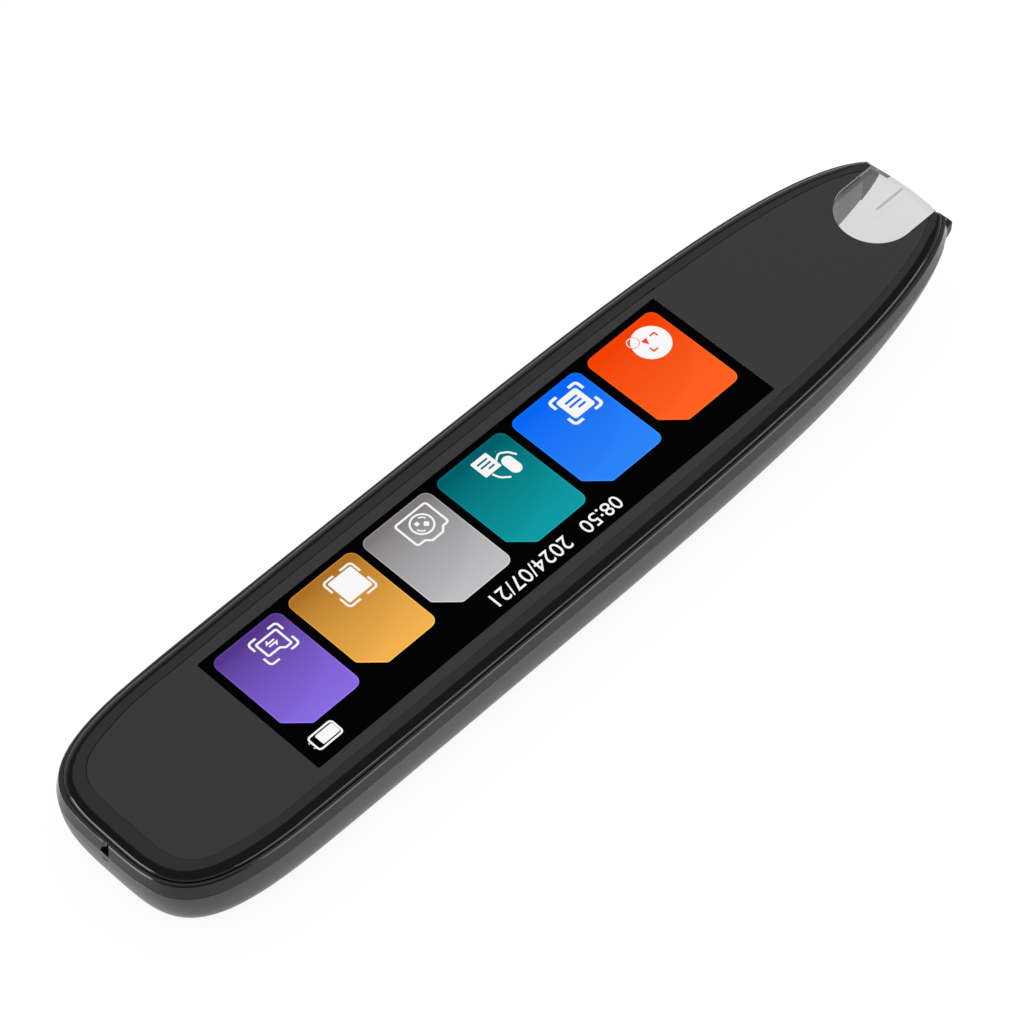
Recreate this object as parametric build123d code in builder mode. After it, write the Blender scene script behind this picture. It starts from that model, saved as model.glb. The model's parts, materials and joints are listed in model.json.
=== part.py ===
"""Handheld scan translator: a slim pen-shaped reader with a screen on top and a scan head at its tip.

The frame: +X points to the scan tip, +Y to the left side, +Z up through the screen. The origin is
the middle of the bounding box in plan, on the flat of the belly. All sizes are in millimetres.
"""
from build123d import *
from math import asin, cos, dist, pi, sin, sqrt
import os

os.makedirs("parts", exist_ok=True)

# ------------------------------------------------------------------ driving dimensions: housing
body_length = 151.5
body_width = 33.0
body_thickness = 12.0
foot_reach = 1.1              # the shoe's feet stand this far out of the housing's front
seam_drop = 2.95              # top face to the seam between middle frame and lower shell
ledge_drop = 0.8              # top face to the ledge round the bezel
side_wall = 1.4
floor_wall = 1.3
widest_from_tail = 49.0       # the widest station, from which both ends draw in
apex_ahead = 2.7              # the outline would close this far ahead of the blunt front
tail_power = 6.5              # how long the sides stay full towards the tail
tail_fullness = 3.7           # how square the tail's corners are
nose_power = 4.1              # how late the sides draw in towards the tip
nose_fullness = 2.9
tail_rounding = 4.1           # length of the rounding under the tail
nose_rise = 36.0              # length over which the belly rises to the tip
flat_share = 0.97             # share of the rounding's depth at which the belly's flat cuts it off
side_squareness = 4.1         # exponent of the cross-section along the body
nose_squareness = 2.3         # exponent of the cross-section at the tip
squareness_from_front = 3.0   # where the section has become elliptical, back from the front
squareness_run = 25.0

# ------------------------------------------------------------------ driving dimensions: top
screen_from_tail = 26.45       # housing's tail to the picture's rear end
screen_from_front = 39.95      # picture's front end to the housing's front
screen_end_border = 1.45      # display glass past the picture, at the ends and at the sides
screen_side_border = 1.1
cover_side_inset = 3.57       # housing's side to the cover's edge
cover_tail_inset = 4.25
cover_apex_ahead = 0.2
cover_thickness = 0.9
cover_recess = 0.05
cover_fullness = 5.0
tape_thickness = 0.15
rim_side_inset = 0.9
rim_tail_inset = 0.95
rim_apex_ahead = 1.8
rim_front_inset = 0.8
rim_roundover = 0.75
ledge_inset = 0.35
notch_radius = 6.05
notch_from_front = 6.9        # centre of the notch's round end, back from the front
arm_round = 0.5               # rounding of the arms' ends beside the notch
seam_relief = 0.12            # chamfer of both edges along the seam
ledge_bevel = 0.15
tail_notch_radius = 0.8
tail_notch_depth = 0.6
tail_notch_floor = 0.25       # above the seam

# ------------------------------------------------------------------ driving dimensions: scan head
window_clearance = 0.08
window_top_thickness = 0.85
window_flange = 1.15          # how far the window's flange reaches under the cover
window_flange_thickness = 0.6
window_crown = 0.45           # bulge of the window's free end
window_front_inset = 0.6
shoe_travel = 0.5
shoe_clearance = 0.1
shoe_wall = 0.85
foot_length = 3.5
foot_inset = 0.3
foot_outside = 7.7            # middle plane to a foot's outer side
foot_ahead = 1.6              # the feet's rounding lies this far ahead of the housing's
foot_round = 0.5
lining_ahead = 0.7
arm_width = 1.4
arm_height = 1.1
arm_length = 18.0
bridge_length = 1.6
camera_port_width = 10.6
camera_port_height = 2.8
axis_height = 5.45            # optical axis above the belly
lens_radius = 1.9
lens_length = 5.0
lens_bore = 1.2
lens_glass_radius = 1.5
lens_glass_thickness = 0.5
lens_glass_round = 0.15
holder_length = 4.4
holder_width = 8.0
holder_height = 4.8
holder_overlap = 3.8          # length of the lens barrel that sits in the holder
sensor_size = 3.2
sensor_thickness = 0.5
sensor_board_width = 11.0
sensor_board_thickness = 0.8
sensor_margin = 0.1
lamp_board_thickness = 0.6
lamp_board_width = 13.0
lamp_board_height = 4.8
lamp_board_chamfer = 1.6
lamp_board_setback = 1.2       # the barrel's front to the lamp board's rear
lamp_size = 1.6
lamp_thickness = 0.65
lamp_spread = 4.5
lamp_round = 0.2
switch_room = 7.4             # free length behind the shoe's bridge
trigger_width = 4.5
trigger_depth = 2.8
trigger_height = 2.15
stem_length = 0.8
stem_radius = 0.45
pusher_width = 3.0
pusher_height = 1.05
spring_gauge = 0.2
spring_height = 1.0
spring_swing = 0.9
spring_spread = 5.5
spring_post_width = 2.6
spring_post_depth = 1.0
spring_lead = 0.6
spring_turns = 5
spring_length = 4.8
spring_gap = 0.02

# ------------------------------------------------------------------ driving dimensions: inside
deck_thickness = 0.8
tray_gap = 0.3                # screw heads to the display tray
tray_wall = 0.3
panel_thickness = 1.15
backlight_thickness = 0.3
film_thickness = 0.2
fit = 0.05                    # gap all round where a piece sits in its pocket
board_side_inset = 6.45       # housing's side to the board's edge
board_lip = 0.4               # trigger switch's face stands this far over the board's front
board_thickness = 0.8
board_from_tail = 16.5
board_drop = 1.55             # deck's underside to the board's top
shield_length = 20.0
shield_width = 15.0
shield_height = 1.2
shield_wall = 0.2
shield_rear = -21.6           # middles of the cans and the small chip, from the board's middle
shield_fore = 18.0
chip_fore = 36.0
chip_size = 12.0
small_chip_size = 5.0
chip_height = 0.8
board_chamfer = 1.5
corner_round = 0.5            # corners of the small moulded and stamped pieces
battery_gap = 12.2            # cell's front to the speaker's rear
battery_width = 17.0
battery_thickness = 3.9
battery_board_length = 3.4
battery_board_width = 15.0
battery_board_thickness = 1.2
battery_from_tail = 38.0
cell_side_round = 0.9
cell_end_round = 0.5
battery_pad_thickness = 0.4
battery_pad_width = 12.0
speaker_length = 18.0
speaker_width = 9.0
speaker_thickness = 3.0
speaker_gap = 13.3            # speaker's front to the camera holder's rear
speaker_corner = 1.2
cone_length = 14.0
cone_width = 6.0
cone_corner = 2.5
cone_depth = 0.5
pocket_share = 0.6            # how far up the cell and the speaker their walls reach
rib = 0.8
gasket_thickness = 0.4
gasket_width = 1.0
mesh_thickness = 0.15
grille_hole = 0.9
grille_pitch = 1.8
grille_columns = 7
grille_rows = 3
usb_from_tail = 26.0
usb_width = 8.94
usb_height = 3.2
usb_depth = 7.4
usb_setback = 0.6
socket_wall = 0.3
tongue_width = 6.7
tongue_height = 0.7
tongue_inset = 0.9
tongue_base = 1.2
usb_port_width = 9.2
usb_port_height = 3.5
button_from_tail = 101.0
button_length = 12.0
button_height = 2.6
button_proud = 0.3
button_travel = 0.4
button_gap = 0.15
button_flange = 0.7
button_flange_rim = 0.6        # how far the flange reaches past the cap
button_post = 1.0
button_post_radius = 0.8
button_round = 0.25
button_seat_margin = 2.0
button_drop = 0.55            # button's middle below the board's top
switch_width = 3.6
switch_depth = 2.8
switch_height = 1.9
boss_radius = 1.5
boss_inset = 2.7              # boss axis in from the housing's side
boss_bottom = 3.9
boss_from_tail = (14.0, 68.0)
boss_from_front = 33.5
insert_radius = 0.95
insert_length = 2.6
insert_bore = 0.6
screw_radius = 0.55
screw_hole = 0.7
screw_head_radius = 1.15
screw_head_height = 0.6
screw_drive = 0.5
board_screw_length = 2.2
post_radius = 1.4
board_screw_inset = 4.0       # board screws in from the board's ends
board_screw_y = 7.4
mic_width = 3.5
mic_depth = 0.95
mic_height = 2.6
boot_wall = 0.6
boot_depth = 1.4
boot_setback = 1.2
boot_room = 0.5
mic_board_thickness = 0.6
mic_slit_width = 1.1
mic_slit_height = 0.35
mic_slit_drop = 4.0           # top face to the microphone slit
flex_gauge = 0.12
flex_width = 8.0
flex_round = 0.5
flex_slot_width = 9.0
flex_slot_length = 2.2
connector_height = 0.7
connector_depth = 3.0
display_plug_gap = 1.8        # display tray's end to its connector
battery_plug_gap = 4.0
camera_plug_gap = 2.4
camera_flex_y = -4.0
camera_flex_width = 3.0
camera_flex_drop = 1.6        # optical axis down to where the flex leaves the sensor board
antenna_length = 9.0
antenna_width = 12.0
antenna_gauge = 0.15
antenna_gap = 1.0

# ------------------------------------------------------------------ derived stations
tail_x = -(body_length + foot_reach) / 2
front_x = tail_x + body_length
widest_x = tail_x + widest_from_tail
apex_x = front_x + apex_ahead
half_width = body_width / 2
cover_half_width = half_width - cover_side_inset
rim_half_width = half_width - rim_side_inset
seam_z = body_thickness - seam_drop
ledge_z = body_thickness - ledge_drop
screen_length = body_length - screen_from_tail - screen_from_front
screen_x = tail_x + screen_from_tail + screen_length / 2
notch_x = front_x - notch_from_front
rim_front = front_x - rim_front_inset

cover_top = body_thickness - cover_recess
cover_bottom = cover_top - cover_thickness
shelf_z = cover_bottom - tape_thickness
panel_top = cover_bottom - film_thickness
panel_bottom = panel_top - panel_thickness
tray_bottom = panel_bottom - backlight_thickness - tray_wall
deck_top = tray_bottom
deck_z = deck_top - deck_thickness
board_top = deck_z - board_drop
board_bottom = board_top - board_thickness

window_top = cover_top
window_step = cover_bottom
window_bottom = window_step - window_flange_thickness
rim_bottom = window_bottom
shoe_top = seam_z
roof_z = shoe_top + shoe_clearance
foot_front = front_x + foot_reach
foot_rear = foot_front - foot_length
shell_front = foot_rear - shoe_travel - shoe_clearance
flange_radius = notch_radius + window_flange
lining_radius = notch_radius + shoe_wall
arm_outer = lining_radius + arm_width
bridge_front = foot_rear - arm_length
bridge_rear = bridge_front - bridge_length
skirt_end = bridge_rear - switch_room
lens_front = notch_x - lining_radius - shoe_travel - shoe_clearance
lens_rear = lens_front - lens_length
holder_front = lens_rear + holder_overlap
holder_rear = holder_front - holder_length
holder_bottom = axis_height - holder_height / 2
arm_bottom = shoe_top - arm_height
rail_top = arm_bottom - shoe_clearance

tray_length = screen_length + 2 * screen_end_border
tray_width = body_width - 2 * (boss_inset + screw_head_radius + tray_gap)
screen_width = tray_width - 2 * screen_side_border
switch_face = bridge_rear - switch_room + trigger_depth
board_rear = tail_x + board_from_tail
board_length = switch_face - board_lip - board_rear
board_width = body_width - 2 * board_side_inset

# The hull's levels, as angles of the rounding from the seam down to the belly's flat.
hull_angles = (0, 15, 30, 45, 57, 67, asin(flat_share) * 180 / pi)
tail_steps = 8                # outline points across the tail, along the rear sides, to the front
side_steps = 4
nose_steps = 9
corner_share = 0.8            # share of the rear length at which the tail's corners begin
nose_begins = front_x - squareness_from_front - squareness_run
nose_ends = front_x - squareness_from_front


# ------------------------------------------------------------------ the housing's outline
def squareness(x):
    """Exponent of the cross-section at a station: full along the body, elliptical at the tip."""
    share = (x - nose_begins) / (nose_ends - nose_begins)
    share = min(max(share, 0.0), 1.0)
    return side_squareness + (nose_squareness - side_squareness) * share


def narrowing(x, level):
    """Share of the half width that is left at a level of the rounding, 0 at the seam, 1 at its end."""
    exponent = squareness(x)
    return (1 - level ** exponent) ** (1 / exponent)


def plan_points(width, tail, apex, front, fullness, level=0.0):
    """Points of one side of a plan outline, from the middle of the tail to the blunt front."""
    points = []
    for step in range(tail_steps):
        share = step / tail_steps
        x = widest_x - (widest_x - tail) * (1 - share ** fullness) ** (1 / tail_power)
        points.append((x, width * share * narrowing(x, level)))
    for step in range(side_steps):
        share = corner_share * (1 - step / side_steps)
        x = widest_x - (widest_x - tail) * share
        y = width * (1 - share ** tail_power) ** (1 / fullness)
        points.append((x, y * narrowing(x, level)))
    for step in range(nose_steps + 1):
        x = widest_x + (front - widest_x) * sin((pi / 2) * step / nose_steps)
        share = (x - widest_x) / (apex - widest_x)
        y = width * (1 - share ** nose_power) ** (1 / nose_fullness)
        points.append((x, y * narrowing(x, level)))
    return points


def length_shares(points):
    """Share of the way round a plan outline at every point, both sides, from 0 to 1."""
    steps = [dist(start, end) for start, end in zip(points, points[1:])]
    lengths = [0.0]
    for step in reversed(steps):
        lengths.append(lengths[-1] + step)
    for step in steps:
        lengths.append(lengths[-1] + step)
    return [length / lengths[-1] for length in lengths]


# The same shares at every level, so that the hull's levels run smoothly into each other.
outline_shares = length_shares(
    plan_points(half_width, tail_x, apex_x, front_x, tail_fullness)
)


def plan_face(width, tail, apex, front, fullness=tail_fullness, level=0.0):
    """A face inside the plan outline, added to the sketch that is being drawn."""
    side = plan_points(width, tail, apex, front, fullness, level)
    right = [(x, -y) for x, y in reversed(side)]
    with BuildLine() as outline:
        add(Edge.make_spline(right + side[1:], parameters=outline_shares))
        Line(side[-1], right[0])
    make_face(outline.edges())


def hull_levels(inset, floor, ahead=0.0):
    """Plan sketches at every level of the rounding, set in by a wall and moved ahead at the tip."""
    depth = (seam_z - floor) / flat_share
    levels = []
    for angle in hull_angles:
        level = sin(angle * pi / 180)
        round_off = 1 - sqrt(1 - level ** 2)
        with BuildSketch(Plane.XY.offset(seam_z - depth * level)) as section:
            plan_face(
                half_width - inset,
                tail_x + inset + tail_rounding * round_off,
                apex_x + ahead - inset - nose_rise * round_off,
                front_x + ahead - inset - nose_rise * round_off,
                level=level,
            )
        levels.append(section.sketch)
    return levels


def side_reach(x, z):
    """Half width of the housing's outside at a station and a height below the seam."""
    level = (seam_z - z) * flat_share / seam_z
    apex = apex_x - nose_rise * (1 - sqrt(1 - level ** 2))
    if x > widest_x:
        share = ((x - widest_x) / (apex - widest_x)) ** nose_power
        width = half_width * (1 - share) ** (1 / nose_fullness)
    else:
        share = ((widest_x - x) / (widest_x - tail_x)) ** tail_power
        width = half_width * (1 - share) ** (1 / tail_fullness)
    return width * narrowing(x, level)


def notch(radius, back=0.0, mode=Mode.ADD):
    """The U-shaped notch in plan: a round end and straight sides out through the front."""
    length = notch_from_front + back + notch_radius
    with Locations((notch_x - back, 0)):
        Circle(radius, mode=mode)
        Rectangle(length, 2 * radius, align=(Align.MIN, Align.CENTER), mode=mode)


def mouth(front):
    """The rounding of both corners where the notch opens, to be cut from the arms' ends."""
    for side in (-1, 1):
        corner = (front, side * notch_radius)
        centre = (front - arm_round, side * (notch_radius + arm_round))
        with Locations(((corner[0] + centre[0]) / 2, (corner[1] + centre[1]) / 2)):
            Rectangle(arm_round, arm_round)
    for side in (-1, 1):
        with Locations((front - arm_round, side * (notch_radius + arm_round))):
            Circle(arm_round, mode=Mode.SUBTRACT)


def finish(piece, name):
    """Label a piece and write its STEP file."""
    piece.part.label = name
    export_step(piece.part, f"parts/{name}.step")


# ------------------------------------------------------------------ lower shell
usb_x = tail_x + usb_from_tail
usb_z = board_bottom - usb_height / 2
usb_outer = side_reach(usb_x, usb_z)
button_x = tail_x + button_from_tail
button_z = board_top - button_drop
button_outer = side_reach(button_x, button_z)
button_seat = button_outer - side_wall
flange_face = button_seat - fit
switch_stem = 0.6
stem_tip = flange_face - button_flange - button_post - button_travel - fit
speaker_x = holder_rear - speaker_gap - speaker_length / 2
speaker_z = floor_wall + gasket_thickness
battery_rear = tail_x + battery_from_tail
bay_length = speaker_x - speaker_length / 2 - battery_gap - battery_rear
battery_length = bay_length - battery_board_length
battery_x = battery_rear + bay_length / 2
battery_z = floor_wall + battery_pad_thickness
battery_plug_x = battery_rear - battery_plug_gap
mic_z = body_thickness - mic_slit_drop
boot_x = tail_x + side_wall + boot_setback
seat_width = mic_width + 2 * (boot_wall + boot_room)
seat_height = mic_height + 2 * (boot_wall + boot_room)
boss_stations = [tail_x + station for station in boss_from_tail] + [front_x - boss_from_front]
boss_places = [
    (x, side * (side_reach(x, seam_z) - boss_inset)) for x in boss_stations for side in (-1, 1)
]
shell_notch = lining_radius + shoe_clearance

with BuildPart() as cavity:
    loft(hull_levels(side_wall, floor_wall))
    # screw bosses down the side walls
    with BuildSketch(Plane.XY.offset(boss_bottom)):
        with Locations(*boss_places):
            Circle(boss_radius)
    extrude(amount=deck_z - boss_bottom, mode=Mode.SUBTRACT)
    # battery bay walls
    with BuildSketch(Plane.XY.offset(floor_wall)):
        for side in (-1, 1):
            with Locations((battery_x + side * (bay_length / 2 + fit + rib / 2), 0)):
                Rectangle(rib, body_width)
    extrude(amount=battery_pad_thickness + battery_thickness * pocket_share, mode=Mode.SUBTRACT)
    # speaker pocket
    with BuildSketch(Plane.XY.offset(floor_wall)):
        with Locations((speaker_x, 0)):
            Rectangle(speaker_length + 2 * (fit + rib), speaker_width + 2 * (fit + rib))
            Rectangle(speaker_length + 2 * fit, speaker_width + 2 * fit, mode=Mode.SUBTRACT)
    extrude(amount=gasket_thickness + speaker_thickness * pocket_share, mode=Mode.SUBTRACT)
    # pedestal under the camera holder
    with BuildSketch(Plane.XY):
        with Locations(((holder_rear + holder_front) / 2, 0)):
            Rectangle(holder_length, holder_width)
    extrude(amount=holder_bottom, mode=Mode.SUBTRACT)
    # flat seats behind the button and the microphone boot
    with BuildSketch(Plane.XZ.offset(-button_seat)):
        with Locations((button_x, deck_z - 2 * fit)):
            Rectangle(
                button_length + 2 * button_seat_margin,
                button_height + 2 * button_seat_margin,
                align=(Align.CENTER, Align.MAX),
            )
    extrude(amount=-side_wall * 2, mode=Mode.SUBTRACT)
    with BuildSketch(Plane.XZ.offset(-button_seat)):
        with Locations((button_x, button_z)):
            Rectangle(
                button_length + 2 * button_flange_rim + 4 * button_gap,
                button_height + 2 * button_flange_rim + 2 * fit,
            )
    extrude(amount=button_flange + button_post)
    with BuildSketch(Plane.YZ.offset(boot_x)):
        with Locations((0, mic_z)):
            Rectangle(seat_width, seat_height)
    extrude(amount=-side_wall * 2, mode=Mode.SUBTRACT)
    # wall round the scan notch, open where the camera looks through
    with BuildSketch(Plane.XY):
        notch(shell_notch + rib, back=shoe_travel)
        with Locations((lens_rear, 0)):
            Rectangle(
                notch_x - lens_rear - notch_radius / 2,
                2 * lining_radius,
                align=(Align.MIN, Align.CENTER),
                mode=Mode.SUBTRACT,
            )
    extrude(amount=rail_top, mode=Mode.SUBTRACT)

with BuildPart() as lower_shell:
    loft(hull_levels(0, 0))
    chamfer(lower_shell.faces().sort_by(Axis.Z)[-1].edges(), seam_relief)
    add(cavity.part, mode=Mode.SUBTRACT)
    # the open notch, and the blunt end behind the moving feet
    with BuildSketch(Plane.XY):
        notch(shell_notch, back=shoe_travel)
        with Locations((shell_front, 0)):
            Rectangle(body_length, body_width, align=(Align.MIN, Align.CENTER))
    extrude(amount=body_thickness, mode=Mode.SUBTRACT)
    # insert holes
    with Locations(*[(x, y, deck_z) for x, y in boss_places]):
        Hole(insert_radius, depth=insert_length)
    # USB-C port and button opening, through the left wall
    with BuildSketch(Plane.XZ.offset(-half_width)):
        with Locations((usb_x, usb_z)):
            SlotOverall(usb_port_width, usb_port_height)
        with Locations((button_x, button_z)):
            SlotOverall(button_length + 2 * button_gap, button_height + 2 * button_gap)
    extrude(amount=half_width / 2, mode=Mode.SUBTRACT)
    # speaker grille
    with BuildSketch(Plane.XY):
        with Locations((speaker_x, 0)):
            with GridLocations(grille_pitch, grille_pitch, grille_columns, grille_rows):
                Circle(grille_hole / 2)
    extrude(amount=floor_wall, mode=Mode.SUBTRACT)
    # microphone slit in the tail
    with BuildSketch(Plane.YZ.offset(tail_x)):
        with Locations((0, mic_z)):
            SlotOverall(mic_slit_width, mic_slit_height)
    extrude(amount=2 * side_wall, mode=Mode.SUBTRACT)

finish(lower_shell, "lower_shell")

# ------------------------------------------------------------------ middle frame
skirt_inset = side_wall + 2 * fit
spring_seat = bridge_rear - spring_length
board_x = board_rear + board_length / 2
post_places = [
    (board_x + end * (board_length / 2 - board_screw_inset), side * board_screw_y)
    for end in (-1, 1)
    for side in (-1, 1)
]
tray_end = screen_x - tray_length / 2

with BuildPart() as middle_frame:
    # the band between seam and ledge, drawn in towards the ledge, with both its edges bevelled
    for height, inset in (
        (seam_z, seam_relief),
        (seam_z + seam_relief, 0.0),
        (ledge_z - ledge_bevel, ledge_inset),
        (ledge_z, ledge_inset + ledge_bevel),
    ):
        with BuildSketch(Plane.XY.offset(height)):
            plan_face(half_width - inset, tail_x + inset, apex_x - inset, front_x - inset)
    loft(ruled=True)
    # the skirt that hangs inside the lower shell and carries the deck
    with BuildSketch(Plane.XY.offset(deck_z)):
        plan_face(
            half_width - skirt_inset,
            tail_x + skirt_inset + 2 * fit,
            apex_x - skirt_inset,
            front_x - skirt_inset,
        )
        with Locations((skirt_end, 0)):
            Rectangle(body_length, body_width, align=(Align.MIN, Align.CENTER), mode=Mode.SUBTRACT)
    extrude(amount=seam_z - deck_z)
    # posts that carry the main board
    with BuildSketch(Plane.XY.offset(board_top)):
        with Locations(*post_places):
            Circle(post_radius)
    extrude(amount=board_drop)
    # pocket for the bezel, down from the ledge
    with BuildSketch(Plane.XY.offset(rim_bottom)):
        plan_face(
            rim_half_width + fit,
            tail_x + rim_tail_inset - fit,
            front_x + rim_apex_ahead + fit,
            rim_front + fit,
        )
    extrude(amount=body_thickness - rim_bottom, mode=Mode.SUBTRACT)
    # pocket for the display tray, down to the deck, with a slot for its flex
    with BuildSketch(Plane.XY.offset(deck_top)):
        with Locations((screen_x, 0)):
            Rectangle(tray_length + 2 * fit, tray_width + 2 * fit)
    extrude(amount=body_thickness - deck_top, mode=Mode.SUBTRACT)
    with BuildSketch(Plane.XY.offset(deck_z)):
        with Locations((tray_end + fit, 0)):
            Rectangle(flex_slot_length, flex_slot_width, align=(Align.MAX, Align.CENTER))
    extrude(amount=body_thickness - deck_z, mode=Mode.SUBTRACT)
    # room under the roof for the sliding shoe, and nothing but the roof above its feet
    with BuildSketch(Plane.XY.offset(deck_z)):
        with Locations((skirt_end, 0)):
            Rectangle(
                foot_rear - skirt_end,
                2 * (arm_outer + shoe_clearance),
                align=(Align.MIN, Align.CENTER),
            )
        with Locations((shell_front, 0)):
            Rectangle(body_length, body_width, align=(Align.MIN, Align.CENTER))
    extrude(amount=roof_z - deck_z, mode=Mode.SUBTRACT)
    # spring seats behind the shoe's bridge
    with BuildSketch(Plane.XY.offset(arm_bottom)):
        for side in (-1, 1):
            with Locations((spring_seat, side * spring_spread)):
                Rectangle(
                    spring_post_depth, spring_post_width, align=(Align.MAX, Align.CENTER)
                )
    extrude(amount=roof_z - arm_bottom)
    # the scan notch
    with BuildSketch(Plane.XY.offset(deck_z)):
        notch(notch_radius)
    extrude(amount=body_thickness - deck_z, mode=Mode.SUBTRACT)
    with BuildSketch(Plane.XY.offset(deck_z)):
        mouth(front_x)
    extrude(amount=body_thickness - deck_z, mode=Mode.SUBTRACT)
    # the small notch in the middle of the tail, from the ledge almost to the seam
    with BuildSketch(Plane.XY.offset(seam_z + tail_notch_floor)):
        with Locations((tail_x + tail_notch_depth - tail_notch_radius, 0)):
            Circle(tail_notch_radius)
    extrude(amount=body_thickness - seam_z, mode=Mode.SUBTRACT)
    # pocket for the microphone and its boot
    with BuildSketch(Plane.XY.offset(deck_z)):
        with Locations((boot_x, 0)):
            Rectangle(
                boot_depth + mic_depth + mic_board_thickness,
                mic_width + 2 * boot_wall + 2 * fit,
                align=(Align.MIN, Align.CENTER),
            )
        with Locations((boot_x, 0)):
            Rectangle(side_wall, seat_width, align=(Align.MAX, Align.CENTER))
    extrude(amount=mic_z + mic_height / 2 + boot_wall - deck_z, mode=Mode.SUBTRACT)
    # counterbored holes over the shell's bosses, and pilot holes in the posts
    with Locations(*[(x, y, rim_bottom) for x, y in boss_places]):
        CounterBoreHole(screw_hole, screw_head_radius + fit, screw_head_height)
    with Locations(*[(x, y, board_top) for x, y in post_places]):
        Cylinder(
            screw_radius,
            board_drop + deck_thickness / 2,
            align=(Align.CENTER, Align.CENTER, Align.MIN),
            mode=Mode.SUBTRACT,
        )

finish(middle_frame, "middle_frame")

# ------------------------------------------------------------------ bezel
with BuildPart() as bezel:
    with BuildSketch(Plane.XY.offset(rim_bottom)):
        plan_face(
            rim_half_width,
            tail_x + rim_tail_inset,
            front_x + rim_apex_ahead,
            rim_front,
        )
    extrude(amount=body_thickness - rim_bottom)
    fillet(bezel.faces().sort_by(Axis.Z)[-1].edges(), rim_roundover)
    # recess for the cover
    with BuildSketch(Plane.XY.offset(shelf_z)):
        plan_face(
            cover_half_width + fit,
            tail_x + cover_tail_inset - fit,
            front_x + cover_apex_ahead + fit,
            rim_front - rim_roundover,
            cover_fullness,
        )
    extrude(amount=body_thickness - shelf_z, mode=Mode.SUBTRACT)
    # opening for the display, and its flex slot
    with BuildSketch(Plane.XY.offset(rim_bottom)):
        with Locations((screen_x, 0)):
            Rectangle(tray_length + 2 * fit, tray_width + 2 * fit)
    extrude(amount=body_thickness - rim_bottom, mode=Mode.SUBTRACT)
    # the scan notch, and room for the window's flange
    with BuildSketch(Plane.XY.offset(rim_bottom)):
        notch(notch_radius)
    extrude(amount=body_thickness - rim_bottom, mode=Mode.SUBTRACT)
    with BuildSketch(Plane.XY.offset(rim_bottom)):
        notch(flange_radius + window_clearance)
    extrude(amount=window_step - rim_bottom, mode=Mode.SUBTRACT)

finish(bezel, "bezel")

# ------------------------------------------------------------------ cover lens and its tape
cover_front = rim_front - rim_roundover - fit

with BuildPart() as cover_lens:
    with BuildSketch(Plane.XY.offset(cover_bottom)):
        plan_face(
            cover_half_width,
            tail_x + cover_tail_inset,
            front_x + cover_apex_ahead,
            cover_front,
            cover_fullness,
        )
    extrude(amount=cover_thickness)
    with BuildSketch(Plane.XY.offset(cover_bottom)):
        notch(notch_radius)
    extrude(amount=cover_thickness, mode=Mode.SUBTRACT)

finish(cover_lens, "cover_lens")

with BuildPart() as cover_tape:
    with BuildSketch(Plane.XY.offset(shelf_z)):
        plan_face(
            cover_half_width - fit,
            tail_x + cover_tail_inset + fit,
            front_x + cover_apex_ahead - fit,
            cover_front - fit,
            cover_fullness,
        )
        with Locations((screen_x, 0)):
            Rectangle(tray_length + 4 * fit, tray_width + 4 * fit, mode=Mode.SUBTRACT)
    extrude(amount=tape_thickness)
    with BuildSketch(Plane.XY.offset(shelf_z)):
        notch(flange_radius + 2 * window_clearance)
    extrude(amount=tape_thickness, mode=Mode.SUBTRACT)

finish(cover_tape, "cover_tape")

# ------------------------------------------------------------------ display
with BuildPart() as display_tray:
    with BuildSketch(Plane.XY.offset(tray_bottom)):
        with Locations((screen_x, 0)):
            RectangleRounded(tray_length, tray_width, tray_wall)
    extrude(amount=tray_wall + backlight_thickness + panel_thickness / 2)
    with BuildSketch(Plane.XY.offset(tray_bottom + tray_wall)):
        with Locations((screen_x, 0)):
            Rectangle(tray_length - 2 * tray_wall, tray_width - 2 * tray_wall)
    extrude(amount=body_thickness, mode=Mode.SUBTRACT)

finish(display_tray, "display_tray")

panel_length = tray_length - 2 * tray_wall - 2 * fit
panel_width = tray_width - 2 * tray_wall - 2 * fit

with BuildPart() as backlight_sheet:
    with BuildSketch(Plane.XY.offset(tray_bottom + tray_wall)):
        with Locations((screen_x, 0)):
            Rectangle(panel_length, panel_width)
    extrude(amount=backlight_thickness)

finish(backlight_sheet, "backlight_sheet")

with BuildPart() as display_panel:
    with BuildSketch(Plane.XY.offset(panel_bottom)):
        with Locations((screen_x, 0)):
            Rectangle(panel_length, panel_width)
    extrude(amount=panel_thickness)
    chamfer(display_panel.faces().sort_by(Axis.Z)[-1].edges(), fit * 2)

finish(display_panel, "display_panel")

with BuildPart() as screen_film:
    with BuildSketch(Plane.XY.offset(panel_top)):
        with Locations((screen_x, 0)):
            RectangleRounded(screen_length, screen_width, corner_round)
    extrude(amount=film_thickness)

finish(screen_film, "screen_film")

display_plug_x = tray_end + display_plug_gap
flex_bend = tray_end - flex_slot_length / 2
plug_top = board_top + connector_height + flex_gauge / 2

with BuildPart() as display_flex:
    with BuildSketch(Plane.XZ):
        with BuildLine():
            FilletPolyline(
                (tray_end, tray_bottom + tray_wall),
                (flex_bend, tray_bottom + tray_wall),
                (flex_bend, plug_top),
                (display_plug_x + connector_depth, plug_top),
                radius=flex_round,
            )
        trace(line_width=flex_gauge)
    extrude(amount=flex_width / 2, both=True)

finish(display_flex, "display_flex")

# ------------------------------------------------------------------ scan window
window_front = front_x - window_front_inset

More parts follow.
